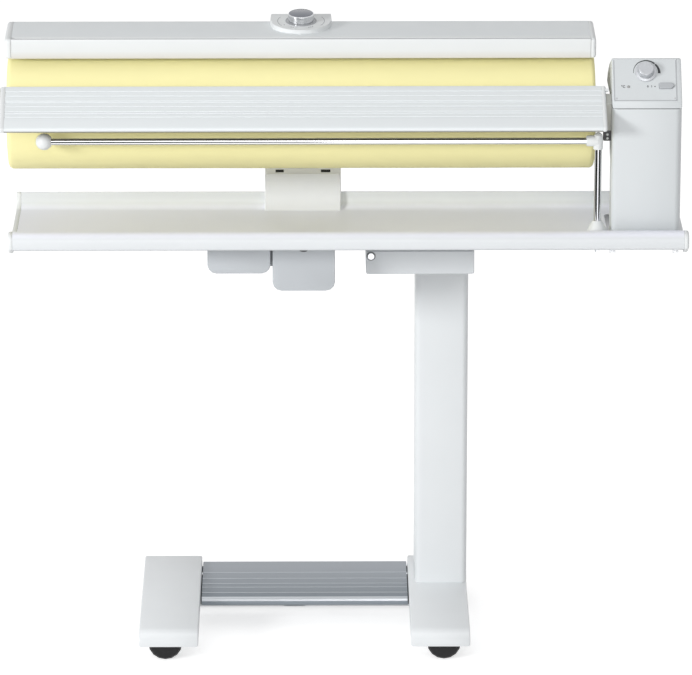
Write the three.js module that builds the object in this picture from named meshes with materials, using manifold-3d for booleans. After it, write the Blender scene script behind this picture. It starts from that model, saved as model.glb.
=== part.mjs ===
// Flatwork ironer: a padded roller carried at one end, a heated shoe that closes on it from above,
// a laundry tray below, and a column stand on castors. The whole head folds upright on the column.
// Millimetres, +Z up. X runs along the roller, -Y faces the person who irons, the floor is Z = 0.

import * as THREE from 'three';
import { mergeVertices, toCreasedNormals } from 'three/addons/utils/BufferGeometryUtils.js';
import ManifoldModule from 'manifold-3d';

const wasm = await ManifoldModule();
wasm.setup();

// ---------------------------------------------------------------- driving dimensions
// Widths and lengths run along X, depths along Y, heights, rises and drops along Z.

const FIT = 0.3;            // running clearance between pieces that move or are fitted
const CREASE = Math.PI / 6; // sharper edges than this stay sharp

const roller = { length: 846.5, radius: 85, cover: 5, pad: 10, wall: 3, height: 177 };
const drum = { insetLeft: 14, insetRight: 11, web: 6, hub: 12.5 };
const shoe = { clear: 1, thick: 4, from: 112, to: -10 }; // its arc in degrees, closed on the roller
const element = { radius: 4, lift: 0.4, inset: 40, bend: 60, loop: 28, from: 25, to: 62 };
const heater = {
  over: 2.5, overRight: 0.4, capLeft: 10.4, capRight: 8.2, forward: 35, behind: 137, rise: 31,
  backRise: 3, skirt: 20, lip: 26, lipGap: 6.7, sheet: 1.5,
};
const guard = { forward: 10, thick: 5, height: 29 };
const dialPlate = { width: 88.6, setback: 18, depth: 67, rise: 6, backRise: 14 };
const knob = { setback: 38, radius: 18.5, height: 12.65, shaft: 3 };
const heaterArm = { wall: 3, foot: 38, waist: 40, bulge: 30, top: 56 };

const hinge = { setback: 15, drop: 7.5, pin: 4, boss: 9, ear: 6, open: 5 };
const arm = { width: 111.5, shift: 2, behind: 100, depth: 76, height: 49, wall: 2.5, flange: 9 };
const cheek = { leftInset: 16, leftWidth: 12, rightInset: 15.5, rightWidth: 14 };

const tray = {
  inset: 3, over: 11.5, cap: 7.5, forward: 150, behind: 108, lip: 32, rim: 24, slope: 6, hook: 8,
  wall: 24, sheet: 2,
};
const underCovers = { setback: 70, depth: 140, corner: 13, wall: 2.5, plug: 2.2 };
const motorCover = { width: 91, height: 45, gap: 3 };
const pressCover = { width: 90, height: 71, shift: 1.25 };
const chassis = { height: 29, wall: 3, setback: 8, gap: 2, end: 11 };

const board = {
  over: 7, overRight: 12.5, capLeft: 8.5, capRight: 6.5, overlap: 9, depth: 74, rise: 54.5,
  drop: 44.5, thick: 8, groove: 0.9, bracket: 26.5,
};
const bar = { over: 1, setback: 45, height: 157.5, radius: 5, post: 5.4, length: 798, base: 14.5, cone: 40 };
const elbow = { sleeve: 17, wall: 3, reach: 12, skin: 1.5 };

const tower = {
  gap: 20.5, width: 99.5, setback: 40, split: 45, depth: 180, step: 10.5, height: 206, wall: 3,
  corner: 9, seam: 84,
};
const panel = { marginLeft: 2.2, marginRight: 6.7, rise: 9, lean: 1, depth: 46, height: 54, edge: 2 };
const control = {
  recess: 1.4, shaft: 3, dialX: 48.5, dialUp: 48, dialSkirt: 15.5, dialCap: 11, dialHeight: 12.5,
  buttonX: 78, buttonUp: 25.8, buttonWidth: 22, buttonHeight: 9.2, lampX: 23.5, lampUp: 24.7, lamp: 2,
};
const gear = { module: 2.8, wheel: 26, pinion: 12, inset: 14.5, width: 14, shaft: 5 };
const gearCase = { inset: 4, width: 38.5, wall: 3, room: 2 };
const motor = { radius: 28, end: 6 };
const gland = { inset: 31, rise: 27, bore: 3.6, neck: 6, flange: 9, length: 22 };

const fold = { reach: 67.3, pin: 4, lug: 7.2, side: 5, rear: 4, length: 216, height: 34.6, roof: 5 };
const lug = { count: 3, width: 20, pitch: 80, inset: 20 };
const column = { width: 78, depth: 100, corner: 9, wall: 2.5, height: 516, shift: 4.5, behind: 194 };
const foot = {
  width: 87, length: 350, skirt: 23, wall: 3, nose: 20, heel: 12, pitch: 399, room: 4, tail: 36,
  shift: 3.25,
};
const beam = { tail: 80, depth: 26, height: 13, clear: 12, upright: 36, inset: 22 };
const pedal = {
  gap: 1.5, tail: 15, depth: 157, pivot: 36, drop: 16, bore: 3, under: 7, thick: 12, rise: 4,
  skin: 3, groove: 0.9,
};
const footSwitch = { width: 32, depth: 14, height: 8, button: 2, shift: 15 };
const castor = {
  radius: 25, gap: 0.5, shade: 1.5, web: 4, half: 17, axle: 3.5, trail: 6, stem: 4, frontInset: 60,
  backInset: 40,
};

// ---------------------------------------------------------------- places that follow from the sizes

// X is centred between the left end of the feed board and the right end of the tray.
roller.left = board.over - (board.over + roller.length + tower.gap + tower.width + tray.over) / 2;
roller.right = roller.left + roller.length;
roller.middle = (roller.left + roller.right) / 2;
tower.left = roller.right + tower.gap;
tower.right = tower.left + tower.width;
arm.left = roller.middle + arm.shift - arm.width / 2;
arm.right = arm.left + arm.width;
foot.left = roller.middle + foot.shift - (foot.pitch + foot.width) / 2;
foot.right = foot.left + foot.pitch;
column.left = foot.right + (foot.width - column.width) / 2 + column.shift;
fold.x = column.left - fold.reach;

// Y is centred between the front of the tray and the back of the feet.
roller.y = (tray.forward - column.behind - foot.tail) / 2;
tray.front = roller.y - tray.forward;
tray.back = roller.y + tray.behind;
arm.front = roller.y + arm.behind;
arm.back = arm.front + arm.depth;
hinge.y = arm.front + hinge.setback;
tower.front = tray.front + tower.setback;
tower.back = tower.front + tower.depth;
column.back = roller.y + column.behind;
fold.back = column.back + fold.rear;
fold.front = fold.back - fold.length;
foot.back = column.back + foot.tail;
foot.front = foot.back - foot.length;

// Z builds up from the floor: castors, feet, column, folding block, chassis, tray, roller.
castor.top = 2 * castor.radius + castor.gap + castor.shade;
foot.inside = castor.top + foot.room;
foot.top = foot.inside + foot.wall;
foot.bottom = foot.top - foot.skirt;
fold.bottom = foot.top + column.height;
fold.top = fold.bottom + fold.height;
fold.z = fold.top - fold.lug;
chassis.bottom = fold.top + FIT + 0.1;
tray.under = chassis.bottom + chassis.height;
tray.floor = tray.under + tray.sheet;
arm.top = tray.floor + arm.height;
hinge.z = arm.top - hinge.drop;
roller.z = tray.floor + roller.height;
tower.top = tray.floor + tower.height;

// ---------------------------------------------------------------- drawing helpers

const rad = THREE.MathUtils.degToRad;

// Corners [u, v, radius] drawn as a run of points, each radius as an arc.
function rounded(corners, { closed = true, fine = 3 } = {}) {
  const points = [];
  corners.forEach(([u, v, r = 0], i) => {
    const last = corners.length - 1;
    if (!r || (!closed && (i === 0 || i === last))) return points.push([u, v]);
    const here = new THREE.Vector2(u, v);
    const a = new THREE.Vector2(...corners[i === 0 ? last : i - 1].slice(0, 2)).sub(here);
    const b = new THREE.Vector2(...corners[i === last ? 0 : i + 1].slice(0, 2)).sub(here);
    const half = Math.abs(Math.atan2(a.cross(b), a.dot(b))) / 2;
    const setback = r / Math.tan(half);
    const middle = a.clone().normalize().add(b.clone().normalize()).normalize();
    const centre = middle.multiplyScalar(r / Math.sin(half)).add(here);
    const start = a.clone().setLength(setback).add(here).sub(centre);
    const sweep = (Math.PI - 2 * half) * Math.sign(b.cross(a));
    const steps = Math.max(1, Math.ceil((Math.abs(sweep) / (Math.PI / 2)) * fine));
    for (let k = 0; k <= steps; k++) {
      const p = start.clone().rotateAround(new THREE.Vector2(), (sweep * k) / steps).add(centre);
      points.push([p.x, p.y]);
    }
    return points;
  });
  const apart = (a, b) => Math.hypot(a[0] - b[0], a[1] - b[1]) > 0.01;
  return points.filter((p, i) => i === 0 || apart(p, points[i - 1]));
}

// The same run of points moved sideways, to the left of its direction for a positive distance.
function offset(points, distance, closed = true) {
  const n = points.length;
  return points.map(([u, v], i) => {
    const before = points[closed ? (i + n - 1) % n : Math.max(i - 1, 0)];
    const after = points[closed ? (i + 1) % n : Math.min(i + 1, n - 1)];
    const a = new THREE.Vector2(u - before[0], v - before[1]);
    const b = new THREE.Vector2(after[0] - u, after[1] - v);
    if (a.length() === 0) a.copy(b);
    if (b.length() === 0) b.copy(a);
    a.normalize();
    b.normalize();
    const side = new THREE.Vector2(-a.y - b.y, a.x + b.x).normalize();
    const reach = distance / Math.max(0.3, side.dot(new THREE.Vector2(-a.y, a.x)));
    return [u + side.x * reach, v + side.y * reach];
  });
}

// A sheet of one thickness that follows a line, as a closed outline.
const sheet = (line, thick) => [...line, ...offset(line, thick, false).reverse()];

const arc = (u, v, r, from, to, steps) =>
  Array.from({ length: steps + 1 }, (_, k) => {
    const a = rad(from + ((to - from) * k) / steps);
    return [u + r * Math.cos(a), v + r * Math.sin(a)];
  });

const circle = (u, v, r, steps = 20) => arc(u, v, r, 0, 360 - 360 / steps, steps - 1);

const box2 = (u0, v0, u1, v1, r = 0, fine = 3) =>
  rounded([[u0, v0, r], [u1, v0, r], [u1, v1, r], [u0, v1, r]], { fine });

function extruded(points, length, bevel, holes) {
  const shape = new THREE.Shape(points.map(([u, v]) => new THREE.Vector2(u, v)));
  holes.forEach((hole) =>
    shape.holes.push(new THREE.Path(hole.map(([u, v]) => new THREE.Vector2(u, v)))));
  const geometry = new THREE.ExtrudeGeometry(shape, {
    depth: length - 2 * bevel, steps: 1, curveSegments: 1, bevelEnabled: bevel > 0,
    bevelSize: bevel, bevelThickness: bevel, bevelOffset: -bevel, bevelSegments: bevel < 2 ? 1 : 2,
  });
  return geometry.translate(0, 0, bevel);
}

// Outlines drawn as (y, z), (x, z) or (x, y), pushed out along the axis that is left.
const alongX = (points, x0, x1, bevel = 0, holes = []) =>
  extruded(points, x1 - x0, bevel, holes).applyMatrix4(
    new THREE.Matrix4().set(0, 0, 1, x0, 1, 0, 0, 0, 0, 1, 0, 0, 0, 0, 0, 1));
const alongY = (points, y0, y1, bevel = 0, holes = []) =>
  extruded(points, y1 - y0, bevel, holes).applyMatrix4(
    new THREE.Matrix4().set(1, 0, 0, 0, 0, 0, -1, y1, 0, 1, 0, 0, 0, 0, 0, 1));
const alongZ = (points, z0, z1, bevel = 0, holes = []) =>
  extruded(points, z1 - z0, bevel, holes).translate(0, 0, z0);

const brick = (x0, x1, y0, y1, z0, z1) => alongZ(box2(x0, y0, x1, y1), z0, z1);

// A profile of [radius, height] turned round the Z axis.
function turned(profile, steps = 24) {
  const points = profile.map(([r, h]) => new THREE.Vector2(r, h));
  return new THREE.LatheGeometry(points, steps).rotateX(Math.PI / 2);
}
const turnedX = (profile, y, z, steps) =>
  turned(profile, steps).rotateY(Math.PI / 2).translate(0, y, z);
const turnedY = (profile, x, z, steps) =>
  turned(profile, steps).rotateX(-Math.PI / 2).translate(x, 0, z);
const rod = (r, h0, h1) => [[0, h0], [r, h0], [r, h1], [0, h1]];
const tube = (r0, r1, h0, h1) => [[r0, h0], [r1, h0], [r1, h1], [r0, h1], [r0, h0]];

const shift = (points, u, v) => points.map(([a, b]) => [a + u, b + v]);

// Welded vertices, no empty faces, and faces that point outwards.
function welded(geometry) {
  const bare = new THREE.BufferGeometry().setAttribute('position', geometry.attributes.position);
  if (geometry.index) bare.setIndex(geometry.index);
  const merged = mergeVertices(bare, 1e-3);
  const at = (k) => new THREE.Vector3().fromBufferAttribute(merged.attributes.position, k);
  const faces = [];
  let volume = 0;
  for (let k = 0; k < merged.index.count; k += 3) {
    const [a, b, c] = [0, 1, 2].map((j) => merged.index.getX(k + j));
    if (a === b || b === c || c === a) continue;
    faces.push([a, b, c]);
    volume += at(a).dot(at(b).cross(at(c)));
  }
  merged.setIndex((volume < 0 ? faces.map((f) => f.reverse()) : faces).flat());
  return merged;
}

function solidOf(geometry) {
  const { attributes, index } = welded(geometry);
  return new wasm.Manifold(new wasm.Mesh({
    numProp: 3, vertProperties: attributes.position.array, triVerts: Uint32Array.from(index.array),
  }));
}

function geometryOf(solid) {
  const { vertProperties, triVerts } = solid.getMesh();
  return new THREE.BufferGeometry()
    .setAttribute('position', new THREE.BufferAttribute(vertProperties, 3))
    .setIndex(new THREE.BufferAttribute(triVerts, 1));
}

const add = (...pieces) => geometryOf(pieces.map(solidOf).reduce((a, b) => a.add(b)));
const cut = (whole, ...tools) =>
  geometryOf(tools.map(solidOf).reduce((a, b) => a.subtract(b), solidOf(whole)));
const common = (a, b) => geometryOf(solidOf(a).intersect(solidOf(b)));

// ---------------------------------------------------------------- materials

const finish = (color, roughness, metalness = 0) =>
  new THREE.MeshStandardMaterial({ color, roughness, metalness });
const white = finish(0xe9ecee, 0.38);
const warmWhite = finish(0xe4e7e8, 0.45);
const steel = finish(0x9aa0a5, 0.4, 0.8);
const chrome = finish(0xd6dadd, 0.12, 1);
const aluminium = finish(0x9ba3ab, 0.42, 0.6);
const darkPlastic = finish(0x3b3e42, 0.55);
const black = finish(0x17181a, 0.5);
const cloth = finish(0xe6d58a, 0.95);
const felt = finish(0xd8d2c4, 0.98);
const grey = finish(0x8d9399, 0.45);
const copper = finish(0xb0703c, 0.4, 0.9);
const amber = finish(0xd98a2b, 0.3);
const shoeMetal = finish(0xc9cdd0, 0.22, 0.9);

const machine = new THREE.Group();
machine.name = 'flatwork_ironer';

function body(name, parent = machine) {
  const group = new THREE.Group();
  group.name = name;
  parent.add(group);
  return group;
}

function piece(name, geometry, material, group) {
  const mesh = new THREE.Mesh(toCreasedNormals(welded(geometry), CREASE), material);
  mesh.name = name;
  group.add(mesh);
  return mesh;
}

// ---------------------------------------------------------------- stand

const stand = body('stand');
const footCentre = (left) => left + foot.width / 2;
castor.frontY = foot.front + castor.frontInset;
castor.backY = foot.back - castor.backInset;
pedal.back = foot.back - pedal.tail;
pedal.front = pedal.back - pedal.depth;
pedal.left = foot.left + foot.width + pedal.gap;
pedal.right = foot.right - pedal.gap;
pedal.pivotY = pedal.back - pedal.pivot;
pedal.pivotZ = foot.top - pedal.drop;
pedal.bottom = pedal.pivotZ - pedal.under;

// A pressed channel foot, open below, with a boss over each castor and a hole for the pedal's axle.
function footShell(left) {
  const { front, back, top, bottom, inside, wall, nose, heel } = foot;
  const right = left + foot.width;
  const outer = [[front, bottom], [front, top, nose], [back, top, heel], [back, bottom]];
  const inner = [[front + wall, bottom - 1], [front + wall, inside, nose - wall],
    [back - wall, inside, heel - wall], [back - wall, bottom - 1]];
  const boss = (y) => turned(rod(castor.stem + 5, castor.top + FIT, inside + 1), 10)
    .translate(footCentre(left), y, 0);
  const socket = (y) => turned(rod(castor.stem + FIT, castor.top - 1, inside), 10)
    .translate(footCentre(left), y, 0);
  const shell = cut(alongX(rounded(outer), left, right, 2.5),
    alongX(rounded(inner), left + wall, right - wall),
    turnedX(rod(pedal.bore + FIT, left - 1, right + 1), pedal.pivotY, pedal.pivotZ, 16));
  return cut(add(shell, boss(castor.frontY), boss(castor.backY)),
    socket(castor.frontY), socket(castor.backY));
}
piece('foot_left', footShell(foot.left), white, stand);
piece('foot_right', footShell(foot.right), white, stand);

// The cross beam runs low under the pedal and turns up into both feet.
beam.back = foot.back - beam.tail;
beam.front = beam.back - beam.depth;
beam.top = pedal.bottom - beam.clear;
beam.bottom = beam.top - beam.height;
{
  const { top, bottom, upright, inset } = beam;
  const left = foot.left + inset;
  const right = foot.right + foot.width - inset;
  const profile = rounded([
    [left, bottom, 6], [right, bottom, 6], [right, foot.inside], [right - upright, foot.inside],
    [right - upright, top, 4], [left + upright, top, 4], [left + upright, foot.inside],
    [left, foot.inside],
  ]);
  piece('cross_beam', alongY(profile, beam.front, beam.back), steel, stand);
}

// The column stands on the right foot and runs up inside the folding block.
{
  const { left, width, depth, back, corner, wall } = column;
  const outline = (inset) => box2(left + inset, back - depth + inset, left + width - inset, back - inset,
    corner - inset, 5);
  piece('column', alongZ(outline(0), foot.top, fold.top - fold.roof, 0, [outline(wall)]), warmWhite,
    stand);
}

// A cast block caps the column and carries the fold pin between the head's lugs.
const lugFront = (k) => fold.front + lug.inset + k * lug.pitch;
const lugs = Array.from({ length: lug.count }, (_, k) => lugFront(k));
{
  const { x, z, pin, front, back, top, bottom, roof } = fold;
  const leftFace = x - fold.lug;
  const rightFace = column.left + column.width + fold.side;
  const block = alongY(rounded([[leftFace, bottom, 3], [rightFace, bottom, 3], [rightFace, top, 2],
    [leftFace, top, fold.lug]]), front, back, 1);
  const barrel = x + fold.lug + 2;
  const hollow = brick(barrel + roof, column.left + column.width + FIT, front + roof,
    column.back + FIT, bottom - 1, top - roof);
  const slots = lugs.map((y) => brick(leftFace - 1, barrel, y - FIT, y + lug.width + FIT,
    z - fold.lug - 1, top + 1));
  piece('pivot_block', cut(block, hollow, ...slots,
    turnedY(rod(pin + FIT, front - 1, back + 1), x, z, 16)), white, stand);
  piece('fold_pin', turnedY([
    [0, front - 2.2], [pin + 1, front - 2.2], [pin + 1.4, front - FIT],
    [pin, front - FIT], [pin, back + 4], [0, back + 4],
  ], x, z, 16), chrome, stand);
}

// ---------------------------------------------------------------- pedal

// A short switch below the pedal's free end, on the cross beam.
{
  const { width, depth, height, button } = footSwitch;
  const x = footCentre((foot.left + foot.right) / 2) - footSwitch.shift;
  piece('pedal_switch', add(
    brick(x - width / 2, x + width / 2, beam.front - depth, beam.front, beam.top - height, beam.top),
    turned(rod(4, beam.top - 1, beam.top + button), 12)
      .translate(x, beam.front - depth / 2, 0)), darkPlastic, stand);
}

{
  const { bore, pivotY, pivotZ } = pedal;
  const leftSeat = foot.left + foot.width - foot.wall;
  const rightSeat = foot.right + foot.wall;
  const head = 4;
  piece('pedal_axle', turnedX([
    [0, leftSeat - head], [bore + 2, leftSeat - head], [bore + 2, leftSeat - FIT], [bore, leftSeat - FIT],
    [bore, rightSeat + FIT], [bore + 2, rightSeat + FIT], [bore + 2, rightSeat + head],
    [0, rightSeat + head],
  ], pivotY, pivotZ, 16), chrome, stand);
}

// The pedal is an extrusion: a grooved tread over open pockets, with a boss for the axle.
const pedalBody = body('pedal_body');
{
  const { left, right, front, back, bottom, pivotY, pivotZ, bore, thick, rise, skin, groove } = pedal;
  const topAt = (y) => bottom + thick + (rise * (y - front)) / (back - front);
  const grooves = [21.7, 43.7, 59.6, 80.6, 106].map((u) => front + u);
  const tread = grooves.flatMap((y) => [[y - 1.2, topAt(y)], [y - 0.6, topAt(y) - groove],
    [y + 0.6, topAt(y) - groove], [y + 1.2, topAt(y)]]);
  const profile = rounded([
    [front, bottom, 3], [front, topAt(front), 6], ...tread, [back, topAt(back), 3], [back, bottom, 3],
  ].reverse());
  const boss = bore + FIT + skin;
  const rib = (front + pivotY) / 2;
  const pockets = [[front + skin + 1, rib - skin / 2], [rib + skin / 2, pivotY - boss],
    [pivotY + boss, back - skin - 1]];
  const pocket = ([y0, y1]) => alongX([[y0, bottom - 1], [y1, bottom - 1], [y1, topAt(y1) - skin],
    [y0, topAt(y0) - skin]], left - 1, right + 1);
  piece('pedal', cut(alongX(profile, left, right), ...pockets.map(pocket),
    turnedX(rod(bore + FIT, left - 1, right + 1), pivotY, pivotZ, 16)), aluminium, pedalBody);
}

// ---------------------------------------------------------------- castors

// A twin-wheel castor: the hood swivels on its stem, and the wheels share one axle through its web.
function addCastor(tag, footLeft, side, y) {
  const x = footCentre(footLeft);
  const swivel = body(`castor_${tag}_swivel`);
  const rolling = body(`castor_${tag}_roll`, swivel);
  const { radius, gap, shade, web, half, axle, trail, stem, top } = castor;
  const cx = x + side * trail;
  const hood = radius + gap + shade;
  const cover = alongY(sheet(arc(cx, radius, hood, 165, 15, 8), -shade), y - half, y + half);
  const rib = alongY([...arc(cx, radius, hood - shade / 3, 10, 170, 8),
    [cx - 9, radius - 6], [cx + 9, radius - 6]], y - web / 2, y + web / 2);
  const hole = turnedY(rod(axle + FIT, y - half, y + half), cx, radius, 10);
  const neck = top - 1.8;
  const post = turned(rod(stem, neck, foot.inside - FIT), 10).translate(x, y, 0);
  const collar = turned(rod(stem + 3, neck, top), 10).translate(x, y, 0);
  piece(`castor_${tag}_hood`, cut(add(cover, rib, post, collar), hole), black, swivel);
  const inner = web / 2 + FIT * 2;
  const wheel = [
    [0, -half], [radius - 3, -half], [radius, -half + 3], [radius, -inner], [axle, -inner],
  ];
  const mirrored = wheel.slice().reverse().map(([r, h]) => [r, -h]);
  piece(`castor_${tag}_wheels`, turnedY([...wheel, ...mirrored], cx, radius, 16)
    .translate(0, y, 0), black, rolling);
}
addCastor('front_left', foot.left, -1, castor.frontY);
addCastor('front_right', foot.right, 1, castor.frontY);
addCastor('back_left', foot.left, -1, castor.backY);
addCastor('back_right', foot.right, 1, castor.backY);

// ---------------------------------------------------------------- head: chassis and tray

const head = body('head');

// The chassis channel lies under the tray, with lugs that turn on the fold pin.
{
  const { bottom, wall, setback } = chassis;
  const left = arm.right + chassis.gap;
  const right = tower.right - chassis.end;
  const front = fold.front + setback;
  const back = fold.back - setback;
  const channel = cut(brick(left, right, front, back, bottom, tray.under),
    brick(left + wall, right - wall, front + wall, back - wall, bottom + wall, tray.under + 1));
  const { x, z, pin } = fold;
  const r = fold.lug - 0.01;
  const profile = rounded([[x - fold.lug, z - fold.lug, r], [x + fold.lug, z - fold.lug, r],
    [x + fold.lug, bottom + 1], [x - fold.lug, bottom + 1]]);
  const bored = lugs.map((y) => alongY(profile, y, y + lug.width, 0, [circle(x, z, pin + FIT, 16)]));
  piece('chassis', add(channel, ...bored), steel, head);
}

// The bar's foot and the tower stand in openings of the tray, each drawn once with its clearance.
bar.x = roller.right + bar.over;
bar.y = tray.front + bar.setback;
bar.z = tray.floor + bar.height;
bar.left = bar.x - bar.length;
const seat = tray.under + FIT;
const towerOutline = (extra) => box2(tower.left - extra, tower.front - extra, tower.right + extra,
  tower.back + extra, tower.corner + extra);
const footOfBar = (extra) => cut(
  turned(rod(bar.base + extra, tray.under - 1, tray.floor + 1), 24).translate(bar.x, bar.y, 0),
  brick(bar.x - 30, bar.x + 30, bar.y - 30, bar.y - bar.post - 3 - extra, tray.under - 2, tray.floor + 2));

// The tray is one extruded section: rolled front lip, flat floor, low back wall.
{
  const { front, back, floor, rim, slope, under, sheet: thick } = tray;
  const lip = floor + tray.lip;
  const backTop = floor + tray.wall;
  const line = rounded([
    [front + slope, floor + tray.hook, 0], [front, floor + tray.hook, 3], [front, lip, 13],
    [front + rim, lip, 8], [front + rim + slope, floor, 8], [back, floor, 14], [back, backTop, 0],
  ], { closed: false });
  const left = roller.left + tray.inset;
  const right = tower.right + tray.over;
  const notch = brick(arm.left - FIT, arm.right + FIT, arm.front - arm.flange - FIT, back + thick + 2,
    under - 1, backTop + 1);
  piece('tray', cut(alongX(sheet(line, -thick), left + tray.cap, right - tray.cap), notch,
    alongZ(towerOutline(FIT), under - 1, floor + 1), footOfBar(FIT)), white, head);
  const end = [...line, [back + thick, backTop], [back + thick, under], [front + rim, under]];
  piece('tray_cap_left', alongX(end, left, left + tray.cap, 0.6), white, head);
  piece('tray_cap_right', alongX(end, right - tray.cap, right, 0.6), white, head);
}

// Covers screwed under the tray: open boxes with rounded lower corners.
pressCover.left = roller.middle + arm.shift + pressCover.shift - pressCover.width / 2;
motorCover.left = pressCover.left - motorCover.gap - motorCover.width;
underCovers.front = tray.front + underCovers.setback;
underCovers.back = underCovers.front + underCovers.depth;
function underCover({ left, width, height }) {
  const { front, back, corner: r, wall: w, plug } = underCovers;
  const right = left + width;
  const top = tray.under;
  const bottom = top - height;
  const outer = rounded([[left, top], [left, bottom, r], [right, bottom, r], [right, top]]);
  const inner = rounded([[left + w, top + 1], [left + w, bottom + w, r - w],
    [right - w, bottom + w, r - w], [right - w, top + 1]]);
  return cut(alongY(outer, front, back, 2), brick(left + w, right - w, front, back, top - plug, top),
    alongY(inner, front + w, back - w));
}
piece('motor_cover', underCover(motorCover), warmWhite, head);
piece('press_cover', underCover(pressCover), warmWhite, head);

// ---------------------------------------------------------------- head: hinge and lower arm cover

const cheeks = [
  [arm.left + cheek.leftInset, arm.left + cheek.leftInset + cheek.leftWidth],
  [arm.right - cheek.rightInset - cheek.rightWidth, arm.right - cheek.rightInset],
];
{
  const { y, z, boss, ear: wide } = hinge;
  const plateInset = arm.wall + 1.5;
  const plate = brick(arm.left + plateInset, arm.right - plateInset, underCovers.back + 4,
    arm.back - arm.wall - 1, tray.under - wide, tray.under);
  const r = boss - 0.01;
  const ear = (x) => alongX(rounded([[y - boss, tray.under - 1], [y + boss, tray.under - 1],
    [y + boss, z + boss, r], [y - boss, z + boss, r]]), x, x + wide);
  const top = arm.top - arm.wall - FIT;
  const trim = brick(arm.left, arm.right, y - 20, y + 20, top, top + 20);
  const pin = turnedX(rod(hinge.pin, arm.left + plateInset, arm.right - plateInset), y, z, 16);
  const ears = [ear(arm.left + wide), ear(arm.right - 2 * wide)];
  piece('hinge_bracket', add(cut(add(plate, ...ears), trim), pin), steel, head);
}
{
  const { left, right, front, back, top, wall, flange } = arm;
  const low = tray.under - 6;
  const outer = rounded([
    [front - flange, seat], [front - flange, tray.floor], [front - flange + 2, tray.floor + 3],
    [front, tray.floor + 20, 20], [front, top, 3], [back, top, 8], [back, low],
    [tray.back, low], [tray.back, seat],
  ]);
  const inner = rounded([
    [front - flange + 5, tray.floor - 6], [front + wall, tray.floor + 22, 18],
    [front + wall, top - wall, 1], [back - wall, top - wall, 6], [back - wall, low - 2],
    [tray.back - 10, low - 2],
  ]);
  const slots = cheeks.map(([x0, x1]) => brick(x0 - 1.5, x1 + 1.5, hinge.y - 14, hinge.y + 17,
    top - 20, top + 1));
  piece('arm_lower_cover', cut(alongX(outer, left, right, 1),
    alongX(inner, left + wall, right - wall), ...slots), white, head);
}

// ---------------------------------------------------------------- roller

const rollerBody = body('roller_body');
const onRoller = (profile, steps) => turnedX(profile, roller.y, roller.z, steps);
const padRadius = roller.radius - roller.cover;
const coreRadius = padRadius - roller.pad;
drum.left = roller.left + drum.insetLeft;
drum.right = roller.right - drum.insetRight;
gear.left = tower.left + gear.inset;
gear.right = gear.left + gear.width;
{
  const bore = coreRadius - roller.wall;
  piece('roller_core', onRoller([
    [0, drum.left], [coreRadius, drum.left], [coreRadius, drum.right], [bore, drum.right],
    [bore, drum.left + 4], [0, drum.left + 4],
  ], 36), aluminium, rollerBody);
  piece('roller_padding', onRoller(tube(coreRadius, padRadius, drum.left, drum.right), 36),
    felt, rollerBody);

  const end = gear.right + 22;
  piece('roller_shaft', onRoller([
    [0, drum.right - drum.web], [bore - FIT, drum.right - drum.web], [bore - FIT, drum.right],
    [drum.hub + 12, drum.right], [drum.hub, drum.right + 8], [drum.hub, end], [0, end],
  ], 36), steel, rollerBody);
}

// The cloth cover is drawn in over both ends, so its ends are soft and round.
{
  const { left, right, radius } = roller;
  const mouth = coreRadius - 10;
  const skin = rounded([
    [mouth, left + 3], [coreRadius + 1, left, 9], [radius - 2, left + 12, 13], [radius, left + 40],
    [radius, right - 40], [radius - 2, right - 10, 12], [coreRadius + 1, right, 8], [mouth, right - 3],
  ], { closed: false });
  const clear = [
    [mouth, drum.right + FIT], [padRadius + FIT, drum.right + FIT], [padRadius + FIT, drum.left - FIT],
    [mouth, drum.left - FIT],
  ];
  piece('roller_cover', onRoller([...skin, ...clear, skin[0]], 36), cloth, rollerBody);
}

// Straight-sided spur teeth with generous backlash, drawn as (y, z).
function gearOutline(teeth, phase) {
  const pitch = (gear.module * teeth) / 2;
  const tip = pitch + 0.78 * gear.module;
  const root = pitch - 1.05 * gear.module;
  const step = 360 / teeth;
  const flank = [[-0.27, root], [-0.11, tip], [0.11, tip], [0.27, root]];
  return Array.from({ length: teeth }, (_, k) => flank.map(([part, r]) => {
    const a = rad(phase + step * (k + part));
    return [r * Math.cos(a), r * Math.sin(a)];
  })).flat();
}
const gearSpan = (gear.module * (gear.wheel + gear.pinion)) / 2;
const pinionZ = roller.z - gearSpan;
piece('roller_gear', alongX(shift(gearOutline(gear.wheel, -90), roller.y, roller.z), gear.left,
  gear.right, 0, [circle(roller.y, roller.z, drum.hub + FIT, 24)]), steel, rollerBody);

const pinionBody = body('pinion_body');
piece('motor_pinion', add(
  alongX(shift(gearOutline(gear.pinion, 90 + 180 / gear.pinion), roller.y, pinionZ), gear.left,
    gear.right),
  turnedX(rod(gear.shaft, gear.left - 4, gear.right + 24), roller.y, pinionZ, 16)), steel, pinionBody);

// ---------------------------------------------------------------- tower

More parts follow.
